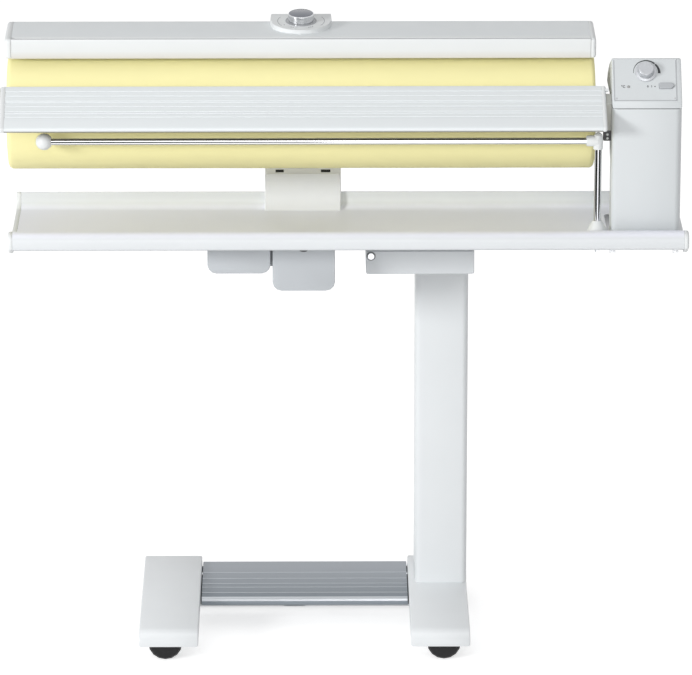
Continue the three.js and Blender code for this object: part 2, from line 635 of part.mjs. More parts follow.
// The outline of the gear case: a belt round the two gears.
function caseOutline(extra) {
  const big = (gear.module * gear.wheel) / 2 + 0.78 * gear.module + extra;
  const small = (gear.module * gear.pinion) / 2 + 0.78 * gear.module + extra;
  const lean = THREE.MathUtils.radToDeg(Math.asin((big - small) / gearSpan));
  return [...arc(roller.y, roller.z, big, -lean, 180 + lean, 16),
    ...arc(roller.y, pinionZ, small, 180 + lean, 360 - lean, 8)];
}
gearCase.left = tower.left + gearCase.inset;
gearCase.right = gearCase.left + gearCase.width;
{
  const { left, right, wall, room } = gearCase;
  const outer = alongX(caseOutline(room + wall), left, right, 1);
  const hollow = alongX(caseOutline(room), left + wall, right - wall);
  const shaftHole = turnedX(rod(drum.hub + FIT, left - 1, right + 1), roller.y, roller.z, 24);
  const pinionHole = turnedX(rod(gear.shaft + FIT, right - wall - 1, right + 1), roller.y, pinionZ, 16);
  piece('gear_case', cut(outer, hollow, shaftHole, pinionHole), darkPlastic, head);

  const bore = gear.shaft + FIT;
  const end = tower.right - motor.end;
  piece('drive_motor', turnedX([
    [bore, right + FIT], [motor.radius - 2, right + FIT], [motor.radius, right + 3],
    [motor.radius, end - 3], [motor.radius - 4, end], [0, end], [0, gear.right + 26],
    [bore, gear.right + 26], [bore, right + FIT],
  ], roller.y, pinionZ, 24), steel, head);
}

// The tower is two channels, front and rear, that meet behind the roller's end.
gland.x = tower.right - gland.inset;
gland.z = tray.floor + gland.rise;
{
  const { left, right, front, back, top, wall, corner } = tower;
  const split = front + tower.split;
  const rearLeft = left + tower.step;
  const channel = (x0, x1, y0, y1, r) => rounded([[x0, y1], [x0, y0, r], [x1, y0, r], [x1, y1]]);
  const outer = channel(left, right, front, split, corner);
  const inner = channel(left + wall, right - wall, front + wall, split, corner - wall).reverse();
  piece('tower_front', alongZ([...outer, ...inner], seat, top), white, head);
  const near = split + FIT;
  const rim = [[rearLeft, near], [rearLeft, back, corner], [right, back, corner], [right, near]];
  const inside = [[right - wall, near], [right - wall, back - wall, corner - wall],
    [rearLeft + wall, back - wall, corner - wall], [rearLeft + wall, near]];
  const window = alongX(caseOutline(gearCase.room + gearCase.wall + FIT * 2), rearLeft - 1,
    rearLeft + wall + 1);
  const glandHole = turnedY(rod(gland.neck, back - wall - 1, back + 1), gland.x, gland.z, 12);
  piece('tower_rear', cut(alongZ(rounded([...rim, ...inside], { closed: false }), seat, top),
    window, glandHole), white, head);
}

// The supply cord leaves through a gland low on the back of the tower.
{
  const { bore, neck, flange, length } = gland;
  const inside = -tower.wall - 4;
  piece('cord_gland', turnedY(shift([
    [bore, inside], [neck + 2, inside], [neck + 2, -tower.wall], [neck, -tower.wall], [neck, 0],
    [flange, 0], [flange, 4], [neck, length], [bore, length], [bore, inside],
  ], 0, tower.back), gland.x, gland.z, 12), black, head);
}

// The control cap: a sloped housing over the tower, split along its side seam.
panel.left = tower.left + panel.marginLeft;
panel.right = tower.right - panel.marginRight;
panel.bottomY = tower.front + panel.lean;
panel.topY = panel.bottomY + panel.depth;
panel.bottomZ = tower.top + panel.rise;
panel.topZ = panel.bottomZ + panel.height;
const slope = Math.atan2(panel.height, panel.depth);
const slopeLength = Math.hypot(panel.height, panel.depth);
const onSlope = (geometry) => geometry.rotateX(slope).translate(0, panel.bottomY, panel.bottomZ);
const dialAt = [tower.left + control.dialX, control.dialUp];
const lampAt = [tower.left + control.lampX, control.lampUp];
const dialHole = turned(rod(control.shaft + FIT, -12, 6), 16).translate(...dialAt, 0);
const buttonOutline = (extra) => {
  const x = tower.left + control.buttonX;
  const t = control.buttonUp;
  const w = control.buttonWidth / 2 + extra;
  const h = control.buttonHeight / 2 + extra;
  return rounded([[x - w, t - h, 2], [x + w - 4, t - h, 2], [x + w, t, 1], [x + w - 4, t + h, 2],
    [x - w, t + h, 2]], { fine: 2 });
};
{
  const { left, right, front, back, wall, top } = tower;
  const { bottomY, bottomZ, topY, topZ, edge } = panel;
  const brow = topY + 17;
  const seam = front + tower.seam;
  const outline = rounded([
    [front, top + FIT], [bottomY - 1, bottomZ, 3], [topY, topZ, 6], [brow, topZ - 7, 6],
    [brow + 32, topZ - 19, 10], [brow + 73, topZ - 42, 10], [back - 27.4, top + 4],
    [back - 29, top + FIT],
  ]).reverse();
  const cavity = alongX(offset(outline, wall), left + wall, right - wall);
  const mouth = brick(left + wall, right - wall, front + wall, back - 31 - wall, top - 1, top + wall + 2);
  const shell = cut(alongX(outline, left, right, 2.5), cavity, mouth);
  const face = brick(panel.left, panel.right, edge, slopeLength - edge, -control.recess, 6);
  const slot = onSlope(add(face, dialHole.clone(), alongZ(buttonOutline(FIT), -12, 6)));
  const before = brick(left - 1, right + 1, front - 50, seam, top - 50, topZ + 50);
  const behind = brick(left - 1, right + 1, seam + FIT, back + 50, top - 50, topZ + 50);
  piece('control_cap_front', cut(common(shell, before), slot), white, head);
  piece('control_cap_rear', common(shell, behind), white, head);

  const low = -control.recess + 0.2;
  const lampHole = turned(rod(control.lamp + 0.2, -3, 6), 12).translate(...lampAt, 0);
  piece('control_panel', onSlope(cut(
    brick(panel.left + FIT, panel.right - FIT, edge + FIT, slopeLength - edge - FIT, low, 0.3),
    dialHole.clone(), alongZ(buttonOutline(FIT), -12, 6), lampHole)), warmWhite, head);
  piece('heat_lamp', onSlope(turned([
    [0, low + 0.1], [control.lamp, low + 0.1], [control.lamp, 0.4], [control.lamp * 0.6, 0.9], [0, 1],
  ], 12).translate(...lampAt, 0)), amber, head);
}

const speedDial = body('speed_dial_body');
{
  const { shaft, dialSkirt, dialCap, dialHeight } = control;
  piece('speed_dial', onSlope(turned([
    [0, -10], [shaft, -10], [shaft, 0.6], [dialSkirt, 0.6], [dialSkirt, 1.8], [dialCap + 1, 3],
    [dialCap, dialHeight - 1], [dialCap - 1, dialHeight], [0, dialHeight],
  ], 28).translate(...dialAt, 0)), aluminium, speedDial);
}
const buttonBody = body('power_button_body');
piece('power_button', onSlope(alongZ(buttonOutline(0), -6, 2.8, 0.6)), grey, buttonBody);

// ---------------------------------------------------------------- feed board

board.left = roller.left - board.over;
board.right = roller.right + board.overRight;
board.backY = roller.y - roller.radius + board.overlap;
board.backZ = roller.z + board.rise;
const boardAngle = Math.atan2(-board.drop, -board.depth);
const boardLength = Math.hypot(board.depth, board.drop);
{
  // Drawn from the back edge (0) to the front edge, top face at 0, then turned into place.
  const { left, right, backY, backZ, thick, groove } = board;
  const lanes = [10, 19, 29, 32, 40, 50, 54, 61];
  const tread = lanes.flatMap((u) => [[u, 0], [u + 0.4, -groove], [u + 1.4, -groove], [u + 1.8, 0]]);
  const rim = [[boardLength, 0, 4.4], [boardLength, -thick, 3], [thick, -thick, 3]];
  const placed = (points) => points.map(([u, v]) => [
    backY + u * Math.cos(boardAngle) + v * Math.sin(boardAngle),
    backZ + u * Math.sin(boardAngle) - v * Math.cos(boardAngle)]);
  const grooved = placed(rounded([[0, -3, 1], [0, 0, 1], ...tread, ...rim]));
  const plain = placed(rounded([[0, -3, 1], [0, 0, 1], ...rim]));
  piece('feed_board', alongX(grooved, left + board.capLeft, right - board.capRight), aluminium, head);
  piece('feed_board_cap_left', alongX(plain, left, left + board.capLeft, 0.8), warmWhite, head);
  piece('feed_board_cap_right', alongX(plain, right - board.capRight, right, 0.8), warmWhite, head);

  // The bracket on the side of the tower carries the board from below, behind the bar's elbow.
  const [heel, toe] = placed([[8, -thick - FIT], [28, -thick - FIT]]);
  const low = roller.z - board.bracket;
  const face = bar.y + bar.radius + elbow.wall + 15;
  const plate = rounded([heel, [heel[0] + 10, heel[1] - 16, 6], [heel[0] + 10, low, 3], [face, low, 3],
    [face, low + 24, 8], toe]);
  const near = roller.right + bar.over + bar.radius + elbow.wall + FIT * 2;
  piece('feed_bracket', alongX(plate, near, tower.left, 0.6), darkPlastic, head);
}

// ---------------------------------------------------------------- laundry bar

{
  const { x, y, post, base, cone } = bar;
  const { floor } = tray;
  const inner = post + FIT;
  const socket = turned([[inner, seat], [base, seat], [base, floor + 22], [base - 1, floor + 27],
    [base - 3.5, floor + 32], [base - 6, floor + 36], [post + 1.6, floor + cone - 1],
    [inner, floor + cone], [inner, seat]], 24).translate(x, y, 0);
  const flat = brick(x - 30, x + 30, y - 30, y - post - 3, tray.under - 2, floor + 8);
  piece('bar_post_base', cut(socket, flat), white, head);
}

const barBody = body('laundry_bar_body');
{
  const { x, y, z, post, radius, left } = bar;
  const { sleeve, wall, reach, skin } = elbow;
  const postTop = z - 6;
  const barEnd = x - post - 1.8;
  piece('bar_post', turned(rod(post, tray.floor + FIT, postTop), 20).translate(x, y, 0), chrome, barBody);
  const outer = radius + wall;
  const grip = turnedX([[0, x - sleeve], [outer - 1, x - sleeve], [outer, x - sleeve + 2], [outer, x],
    [0, x]], y, z, 16);
  const knee = turned([[0, z - reach], [post + skin, z - reach], [post + skin, z + 3],
    [post + 0.5, z + 9], [post - 2.5, z + 12], [0, z + 13]], 16).translate(x, y, 0);
  const postHole = turned(rod(post + 0.1, z - reach - 1, postTop + 0.1), 16).translate(x, y, 0);
  const barHole = turnedX(rod(radius + 0.1, x - sleeve - 1, barEnd + 0.2), y, z, 16);
  piece('bar_elbow', cut(add(grip, knee), postHole, barHole), white, barBody);
  piece('laundry_bar', turnedX(rod(radius, left, barEnd), y, z, 20), chrome, barBody);

  const cap = turnedX(shift([[0, -5], [4, -4.6], [8.5, -2], [11.2, 2.2], [12.2, 7], [11.2, 12],
    [8.2, 15.8], [7, 17], [0, 17]], 0, left), y, z, 16);
  piece('bar_ball_cap', cut(cap, turnedX(rod(radius + 0.1, left - 0.1, left + 18), y, z, 16)), white,
    barBody);
}

// ---------------------------------------------------------------- heater

// Everything on the heater is drawn where it rests, open. Closing turns it about the hinge.
const heaterBody = body('heater_body');
const turnAboutHinge = ([y, z], degrees) => {
  const p = new THREE.Vector2(y, z).rotateAround(new THREE.Vector2(hinge.y, hinge.z), rad(degrees));
  return [p.x, p.y];
};
const [shoeY, shoeZ] = turnAboutHinge([roller.y, roller.z], -hinge.open);
const shoeFront = shoe.from - hinge.open;
const shoeArc = (r, steps) => arc(shoeY, shoeZ, r, shoeFront, shoe.to - hinge.open, steps);
const shoeInner = roller.radius + shoe.clear;
const shoeOuter = shoeInner + shoe.thick;
heater.left = roller.left - heater.over;
heater.right = roller.right + heater.overRight;
heater.front = roller.y - heater.forward;
heater.back = roller.y + heater.behind;
heater.top = roller.z + roller.radius + heater.rise;
heater.backTop = heater.top + heater.backRise;
heater.bottom = roller.z - heater.skirt;
guard.front = heater.front - guard.forward;
guard.bottom = heater.top - guard.height;
dialPlate.front = heater.front + dialPlate.setback;
dialPlate.back = dialPlate.front + dialPlate.depth;
dialPlate.frontZ = heater.top + dialPlate.rise;
dialPlate.backZ = heater.top + dialPlate.backRise;
knob.y = dialPlate.front + knob.setback;
const heaterX = [heater.left + heater.capLeft, heater.right - heater.capRight];
piece('heater_shoe', alongX([...shoeArc(shoeInner, 22), ...shoeArc(shoeOuter, 22).reverse()],
  heaterX[0], heaterX[1]), shoeMetal, heaterBody);

// From the front edge over the crown and down the back: shared by the cover and both end caps.
const crown = roller.y + 50;
const hood = [
  [crown, heater.backTop, 14], [heater.back - 35, heater.backTop - 14, 50],
  [heater.back, roller.z + 50, 50], [heater.back, heater.bottom, 6], [heater.back - 31, heater.bottom],
];
const knobTilt = Math.atan2(dialPlate.backRise - dialPlate.rise, dialPlate.depth);
const knobFoot = dialPlate.frontZ + knob.setback * Math.tan(knobTilt);
const onKnob = (geometry) => geometry.rotateX(knobTilt).translate(roller.middle, knob.y, knobFoot);
const knobHole = onKnob(turned(rod(knob.shaft + FIT, -16, 6), 16));
{
  const { front, top, lip, lipGap } = heater;
  const lipEnd = shoeY + shoeOuter * Math.cos(rad(shoeFront)) - lipGap;
  const line = rounded([[lipEnd, top - lip], [front, top - lip, 3], [front, top, 5], ...hood],
    { closed: false, fine: 6 });
  piece('heater_cover', cut(alongX(sheet(line, -heater.sheet), heaterX[0], heaterX[1]), knobHole),
    white, heaterBody);
  const edge = [...rounded([[guard.front + 14, guard.bottom], [guard.front, guard.bottom, 3],
    [guard.front, top, 6], ...hood], { closed: false, fine: 6 }), ...shoeArc(shoeInner, 16).reverse()];
  piece('heater_cap_left', alongX(edge, heater.left, heaterX[0] - 0.1, 1.9), white, heaterBody);
  piece('heater_cap_right', alongX(edge, heaterX[1] + 0.1, heater.right, 1.9), white, heaterBody);
}

// A bent sheathed element lies on the back of the shoe.
class Route extends THREE.Curve {
  constructor(points) {
    super();
    this.points = points;
  }
  getPoint(t) {
    const k = Math.min(Math.floor(t * (this.points.length - 1)), this.points.length - 2);
    return this.points[k].clone().lerp(this.points[k + 1], t * (this.points.length - 1) - k);
  }
  getPointAt(t) { return this.getPoint(t); }
  getTangentAt(t) {
    const d = 0.4 / (this.points.length - 1);
    return this.getPoint(Math.min(1, t + d)).sub(this.getPoint(Math.max(0, t - d))).normalize();
  }
}
{
  const { from, to, loop, inset } = element;
  const r = shoeOuter + element.radius + element.lift;
  const at = (x, degrees) => new THREE.Vector3(x, shoeY + r * Math.cos(rad(degrees)),
    shoeZ + r * Math.sin(rad(degrees)));
  const bend = Array.from({ length: 9 }, (_, k) => {
    const a = (Math.PI * k) / 8;
    return at(heaterX[0] + element.bend - loop * Math.sin(a), from + ((to - from) * (1 - Math.cos(a))) / 2);
  });
  const points = [at(heaterX[1] - inset, from), ...bend, at(heaterX[1] - inset, to)];
  const ring = new THREE.Shape(circle(0, 0, element.radius, 8).map(([u, v]) => new THREE.Vector2(u, v)));
  piece('heating_element', new THREE.ExtrudeGeometry(ring,
    { steps: points.length - 1, extrudePath: new Route(points), bevelEnabled: false }), copper, heaterBody);
}

// The D-shaped plate under the knob: a wedge between the cover's top and its own sloped face.
{
  const { width, front, back, frontZ, backZ } = dialPlate;
  const x = roller.middle;
  const radius = width / 2;
  const plan = [...arc(x, front + radius, radius, 205, 335, 16), ...rounded([
    [x + radius, front + radius], [x + radius - 1, back, 2], [x - radius + 1, back, 2],
    [x - radius, front + radius]], { closed: false })];
  const coverTop = (y) => heater.top + (heater.backRise * (y - heater.front)) / (crown - heater.front);
  const faceTop = (y) => frontZ + (y - front) * Math.tan(knobTilt);
  const slab = alongX([[front - 4, coverTop(front - 4)], [back + 2, coverTop(back + 2)],
    [back + 2, faceTop(back + 2)], [front - 4, faceTop(front - 4)]], x - width, x + width);
  piece('dial_plate', cut(common(alongZ(plan, heater.top - 10, backZ + 10), slab), knobHole), warmWhite,
    heaterBody);
}
const knobBody = body('temperature_knob_body', heaterBody);
{
  const { shaft, radius, height } = knob;
  piece('temperature_knob', onKnob(turned([
    [0, -12], [shaft, -12], [shaft, FIT + 0.2], [radius, FIT + 0.2], [radius, height - 2],
    [radius - 1, height - 0.6], [radius - 2.5, height], [0, height],
  ], 32)), aluminium, knobBody);
}

// The guard strip in front of the shoe swings in when a hand reaches it.
const guardBody = body('finger_guard_body', heaterBody);
piece('finger_guard', alongX(
  box2(guard.front, guard.bottom, guard.front + guard.thick, heater.top - FIT, 1.4),
  heaterX[0] + FIT, heaterX[1] - FIT), white, guardBody);

// The arm behind the roller: a curved shell with two cheeks that drop through slots to the hinge.
{
  const under = arm.top + 3;
  const { wall, waist, bulge, top } = heaterArm;
  const { y, z, boss } = hinge;
  const { back, bottom } = heater;
  const outline = rounded([
    [back, bottom + 2, 0], [y + 6, bottom - 46, 40], [y - 12, under, 0], [y + 26, under, 4],
    [y + 46, bottom - heaterArm.foot, 50], [back + bulge, bottom + 32, waist],
    [back + 14, roller.z + top, 12], [back, roller.z + top, 0],
  ], { fine: 4 });
  const trunk = alongX(outline, arm.left, arm.right, 1.5);
  const hollow = alongX(offset(outline, wall), arm.left + wall, arm.right - wall);
  const mouth = brick(arm.left + wall, arm.right - wall, back - 1, back + wall + 1, bottom + 12,
    roller.z + top - wall - 4);
  const r = boss - 0.01;
  const drop = ([x0, x1]) => alongX(rounded([[y - boss, under + 6], [y - boss, z - boss, r],
    [y + boss, z - boss, r], [y + boss, under + 6]]), x0, x1);
  piece('heater_arm', cut(add(cut(trunk, hollow, mouth), ...cheeks.map(drop)),
    turnedX(rod(hinge.pin + FIT, arm.left - 1, arm.right + 1), y, z, 16)), white, heaterBody);
}

export default machine;
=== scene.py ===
"""Looks of the flatwork ironer: materials, cloth, small fittings, studio and camera."""

import math

import bmesh
import bpy
from mathutils import Matrix, Vector
from mathutils.bvhtree import BVHTree


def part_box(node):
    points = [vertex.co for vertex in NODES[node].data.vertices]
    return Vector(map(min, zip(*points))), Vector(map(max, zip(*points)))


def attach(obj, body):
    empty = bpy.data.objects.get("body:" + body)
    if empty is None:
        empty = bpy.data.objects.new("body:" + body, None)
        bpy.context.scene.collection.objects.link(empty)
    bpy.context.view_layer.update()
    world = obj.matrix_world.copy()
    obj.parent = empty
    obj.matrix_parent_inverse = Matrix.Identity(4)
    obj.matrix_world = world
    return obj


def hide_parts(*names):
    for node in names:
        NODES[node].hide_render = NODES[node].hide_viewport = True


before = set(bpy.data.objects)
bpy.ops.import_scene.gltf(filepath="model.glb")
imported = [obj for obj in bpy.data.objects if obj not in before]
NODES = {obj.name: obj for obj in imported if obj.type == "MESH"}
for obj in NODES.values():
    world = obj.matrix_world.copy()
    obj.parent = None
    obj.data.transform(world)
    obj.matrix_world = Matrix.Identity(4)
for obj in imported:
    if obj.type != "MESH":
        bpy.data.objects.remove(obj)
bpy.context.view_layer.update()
MM = 0.001
WELD = 0.00001              # corners of a CAD mesh that lie closer than this are one
SHARP = math.radians(32)    # an edge that turns by more than this stays sharp


# ---------------------------------------------------------------- materials

MATERIALS = {}
NOISE = (0.3, 0.7)          # nearly all of a noise texture's values lie in this range


def new_material(name):
    """Registers a node material, and returns its tree and its shader."""
    material = bpy.data.materials.new(name)
    material.use_nodes = True
    MATERIALS[name] = material
    return material.node_tree, material.node_tree.nodes["Principled BSDF"]


def node(tree, kind, **values):
    """A node with the given sockets, or else attributes, set."""
    made = tree.nodes.new(kind)
    for key, value in values.items():
        if key in made.inputs:
            made.inputs[key].default_value = value
        else:
            setattr(made, key, value)
    return made


def place_texture(tree, stretch=(1, 1, 1)):
    """Object coordinates, stretched along the axes, for every texture of a material."""
    coordinates = node(tree, "ShaderNodeTexCoord")
    mapping = node(tree, "ShaderNodeMapping")
    mapping.inputs["Scale"].default_value = stretch
    tree.links.new(coordinates.outputs["Object"], mapping.inputs["Vector"])
    return mapping.outputs["Vector"]


def noise(tree, vector, scale, detail=2.0, rough=0.5):
    made = node(tree, "ShaderNodeTexNoise", Scale=scale, Detail=detail, Roughness=rough)
    tree.links.new(vector, made.inputs["Vector"])
    return made.outputs["Fac"]


def remap(tree, value, inside, outside=(0, 1)):
    """A value brought from one range to another, and held at its ends."""
    made = node(tree, "ShaderNodeMapRange")
    for side, (low, high) in (("From", inside), ("To", outside)):
        made.inputs[f"{side} Min"].default_value = low
        made.inputs[f"{side} Max"].default_value = high
    tree.links.new(value, made.inputs["Value"])
    return made.outputs["Result"]


def calculate(tree, operation, *values):
    """A Math node on other nodes' outputs and plain numbers."""
    made = node(tree, "ShaderNodeMath", operation=operation)
    for socket, value in zip(made.inputs, values):
        if isinstance(value, bpy.types.NodeSocket):
            tree.links.new(value, socket)
        else:
            socket.default_value = value
    return made.outputs[0]


def two_colours(tree, value, colour, darker, lighter):
    """A colour that turns a little darker and a little lighter with a noise value."""
    made = node(tree, "ShaderNodeValToRGB")
    for stop, position, factor in zip(made.color_ramp.elements, NOISE, (1 - darker, 1 + lighter)):
        stop.position = position
        stop.color = (*(min(1.0, c * factor) for c in colour), 1)
    tree.links.new(value, made.inputs["Fac"])
    return made.outputs["Color"]


def bump(tree, shader, height, strength, distance, below=None):
    made = node(tree, "ShaderNodeBump", Strength=strength, Distance=distance)
    tree.links.new(height, made.inputs["Height"])
    if below is not None:
        tree.links.new(below, made.inputs["Normal"])
    tree.links.new(made.outputs["Normal"], shader.inputs["Normal"])
    return made.outputs["Normal"]


def side_of(tree, output, axis, low, high):
    """0 below low and 1 above high, by one axis of an object-space output: Object or Normal."""
    coordinates = node(tree, "ShaderNodeTexCoord")
    separate = node(tree, "ShaderNodeSeparateXYZ")
    tree.links.new(coordinates.outputs[output], separate.inputs["Vector"])
    return remap(tree, separate.outputs[axis], (low, high))


def with_painted_light(tree, value, tint, change, painted_light):
    """The tint, and a second colour where (colour, output, axis, low, high) puts it below low: light
    and shade painted into the colour.
    """
    if not painted_light:
        return tint
    second = two_colours(tree, value, painted_light[0], change, change)
    mix = node(tree, "ShaderNodeMix", data_type="RGBA")
    tree.links.new(side_of(tree, *painted_light[1:]), mix.inputs["Factor"])
    tree.links.new(second, mix.inputs[6])
    tree.links.new(tint, mix.inputs[7])
    return mix.outputs[2]


def coated(name, colour, rough=(0.36, 0.46), grain=900, depth=0.1, change=0.03,
           specular=0.5, stretch=(1, 1, 1), painted_light=None):
    """Painted sheet or moulded plastic: cloudy tint, uneven gloss and a fine grain."""
    tree, shader = new_material(name)
    vector = place_texture(tree, stretch)
    clouds = noise(tree, vector, 9, 3)
    tint = two_colours(tree, clouds, colour, change, change)
    tree.links.new(with_painted_light(tree, clouds, tint, change, painted_light), shader.inputs["Base Color"])
    tree.links.new(remap(tree, noise(tree, vector, 45, 3), NOISE, rough), shader.inputs["Roughness"])
    shader.inputs["Specular IOR Level"].default_value = specular
    bump(tree, shader, noise(tree, vector, grain, 2), depth, 0.3 * MM)


def metal(name, colour, rough=(0.32, 0.45), stretch=(60, 60, 60), depth=0.04, change=0.06,
          metallic=1.0, painted_light=None):
    """Drawn or brushed metal: streaks along its length in tint, gloss and surface."""
    tree, shader = new_material(name)
    streaks = noise(tree, place_texture(tree, stretch), 1, 4, 0.6)
    tint = two_colours(tree, streaks, colour, change, change)
    tree.links.new(with_painted_light(tree, streaks, tint, change, painted_light), shader.inputs["Base Color"])
    tree.links.new(remap(tree, streaks, NOISE, rough), shader.inputs["Roughness"])
    shader.inputs["Metallic"].default_value = metallic
    bump(tree, shader, streaks, depth, 0.2 * MM)


def cotton(name, colour, thread=1.1 * MM):
    """Plain-woven cotton: two crossed sets of threads on the cloth's own coordinates."""
    tree, shader = new_material(name)
    coordinates = node(tree, "ShaderNodeUVMap", uv_map="cloth")
    clouds = noise(tree, place_texture(tree, (3, 12, 12)), 1.4, 4)
    separate = node(tree, "ShaderNodeSeparateXYZ")
    tree.links.new(coordinates.outputs["UV"], separate.inputs["Vector"])
    threads = [calculate(tree, "SINE", calculate(tree, "MULTIPLY", separate.outputs[axis],
                                                 2 * math.pi / thread)) for axis in ("X", "Y")]
    weave = calculate(tree, "MULTIPLY", *threads)
    tree.links.new(two_colours(tree, clouds, colour, 0.025, 0.02), shader.inputs["Base Color"])
    shader.inputs["Roughness"].default_value = 0.9
    shader.inputs["Specular IOR Level"].default_value = 0.15
    shader.inputs["Sheen Weight"].default_value = 0.25
    shader.inputs["Sheen Roughness"].default_value = 0.5
    shader.inputs["Sheen Tint"].default_value = (1.0, 0.97, 0.8, 1)
    soft = bump(tree, shader, clouds, 0.25, 4 * MM)
    bump(tree, shader, weave, 0.25, 0.15 * MM, soft)


SHEET = dict(rough=(0.34, 0.44), grain=700, depth=0.10, change=0.012)       # painted sheet metal
MOULDED = dict(rough=(0.40, 0.50), grain=1500, depth=0.14, change=0.012)    # moulded plastic
MATT = dict(rough=(0.5, 0.6), grain=1500, depth=0.05, change=0.1)           # printing
TURNED = dict(stretch=(300, 300, 20), depth=0.05)                           # a knob's skirt

# Painted light and shade: faces turned up get the lighter colour, the sides the darker one.
coated("white_metal", (0.86, 0.885, 0.90), **SHEET,
       painted_light=((0.755, 0.78, 0.795), "Normal", "Z", 0.45, 0.75))
# A lighter copy of the white paint: painted light on the heater's arm, which the roller shades.
coated("arm_lit_white", (0.88, 0.89, 0.93), **SHEET)
# A darker copy of the white paint: painted shade of the tray's lip on the pivot block.
coated("block_shaded_white", (0.665, 0.69, 0.71), **SHEET)
coated("cover_grey", (0.78, 0.815, 0.83), **SHEET)
# Painted light and shade: the tray's upward faces are lighter than its lip and walls, and a bluer tint
# is set against the roller's yellow bounce light.
coated("tray_white", (0.89, 0.905, 0.985), **SHEET,
       painted_light=((0.72, 0.745, 0.765), "Normal", "Z", 0.45, 0.85))
# Painted shade: the board's underside and the lower edge of its nose turn dark.
coated("feed_metal", (0.77, 0.805, 0.82), (0.30, 0.42), grain=1200, depth=0.06, change=0.012,
       stretch=(0.05, 1, 1), painted_light=((0.16, 0.15, 0.12), "Normal", "Z", -0.75, -0.1))
# Painted shade: the upper part is olive grey, for the shade in the gap by the tower; below it the
# bracket is near black.
coated("bracket", (0.56, 0.56, 0.52), (0.40, 0.52), grain=1500, depth=0.2, change=0.05,
       painted_light=((0.08, 0.08, 0.085), "Object", "Z", 0.8065, 0.8085))
coated("white_plastic", (0.78, 0.80, 0.805), **MOULDED)
coated("beige_plastic", (0.77, 0.785, 0.815), **MOULDED)
coated("box_grey", (0.51, 0.535, 0.56), **MOULDED)
coated("tower_white", (0.67, 0.70, 0.715), (0.36, 0.46), grain=1100, depth=0.10, change=0.012)
# Painted shade: the guard's lower edge is darker and yellower, for the roller's shade and yellow
# bounce light.
coated("guard_white", (0.755, 0.775, 0.78), (0.30, 0.40), grain=1500, depth=0.1, change=0.01,
       painted_light=((0.69, 0.675, 0.63), "Object", "Z", 0.906, 0.916))
coated("grey_plastic", (0.46, 0.48, 0.50), (0.42, 0.52), grain=1500, depth=0.14, change=0.03)
coated("dark_plastic", (0.10, 0.105, 0.11), (0.40, 0.52), grain=1500, depth=0.2, change=0.1)
coated("black_plastic", (0.009, 0.009, 0.01), (0.34, 0.46), grain=1300, depth=0.2, change=0.2,
       specular=0.35)
coated("lens_grey", (0.36, 0.36, 0.355), (0.3, 0.4), grain=900, depth=0.05, change=0.1)
coated("ring_grey", (0.36, 0.37, 0.39), (0.35, 0.45), grain=1200, depth=0.1, change=0.05)
coated("print", (0.035, 0.038, 0.042), **MATT)
coated("soft_print", (0.30, 0.31, 0.33), **MATT)
coated("seam", (0.13, 0.135, 0.14), (0.6, 0.7), depth=0.1, change=0.05, specular=0.2)
coated("dark_gap", (0.03, 0.032, 0.035), (0.6, 0.7), depth=0.1, change=0.1, specular=0.2)
coated("felt", (0.62, 0.60, 0.55), (0.85, 0.95), grain=500, depth=0.6, change=0.08, specular=0.1)
cotton("cotton", (0.975, 0.91, 0.475))
metal("steel", (0.52, 0.53, 0.54))
metal("element", (0.20, 0.19, 0.18), (0.45, 0.6), (40, 40, 40), depth=0.05)
metal("chrome", (0.80, 0.81, 0.83), (0.05, 0.10), (25, 25, 900), depth=0.01, change=0.02)
metal("aluminium", (0.60, 0.625, 0.655), (0.30, 0.42), (5, 700, 700), depth=0.06, change=0.05)
metal("shoe_aluminium", (0.74, 0.75, 0.76), (0.14, 0.24), (3, 400, 400), depth=0.03)
# Painted shade: the pedal turns darker towards its front.
metal("pedal_metal", (0.36, 0.385, 0.42), (0.42, 0.52), (4, 500, 500), depth=0.06, change=0.03,
      metallic=0.45, painted_light=((0.23, 0.26, 0.29), "Object", "Y", 0.03, 0.15))
metal("dial_silver", (0.55, 0.565, 0.59), (0.34, 0.44), **TURNED, change=0.05, metallic=0.55)
# Painted reflection: the knob's top is dark and its sides light, by the facing of each face.
metal("knob_metal", (0.20, 0.21, 0.235), (0.14, 0.24), **TURNED,
      painted_light=((0.70, 0.71, 0.73), "Normal", "Z", 0.5, 0.8))


# ---------------------------------------------------------------- mesh helpers

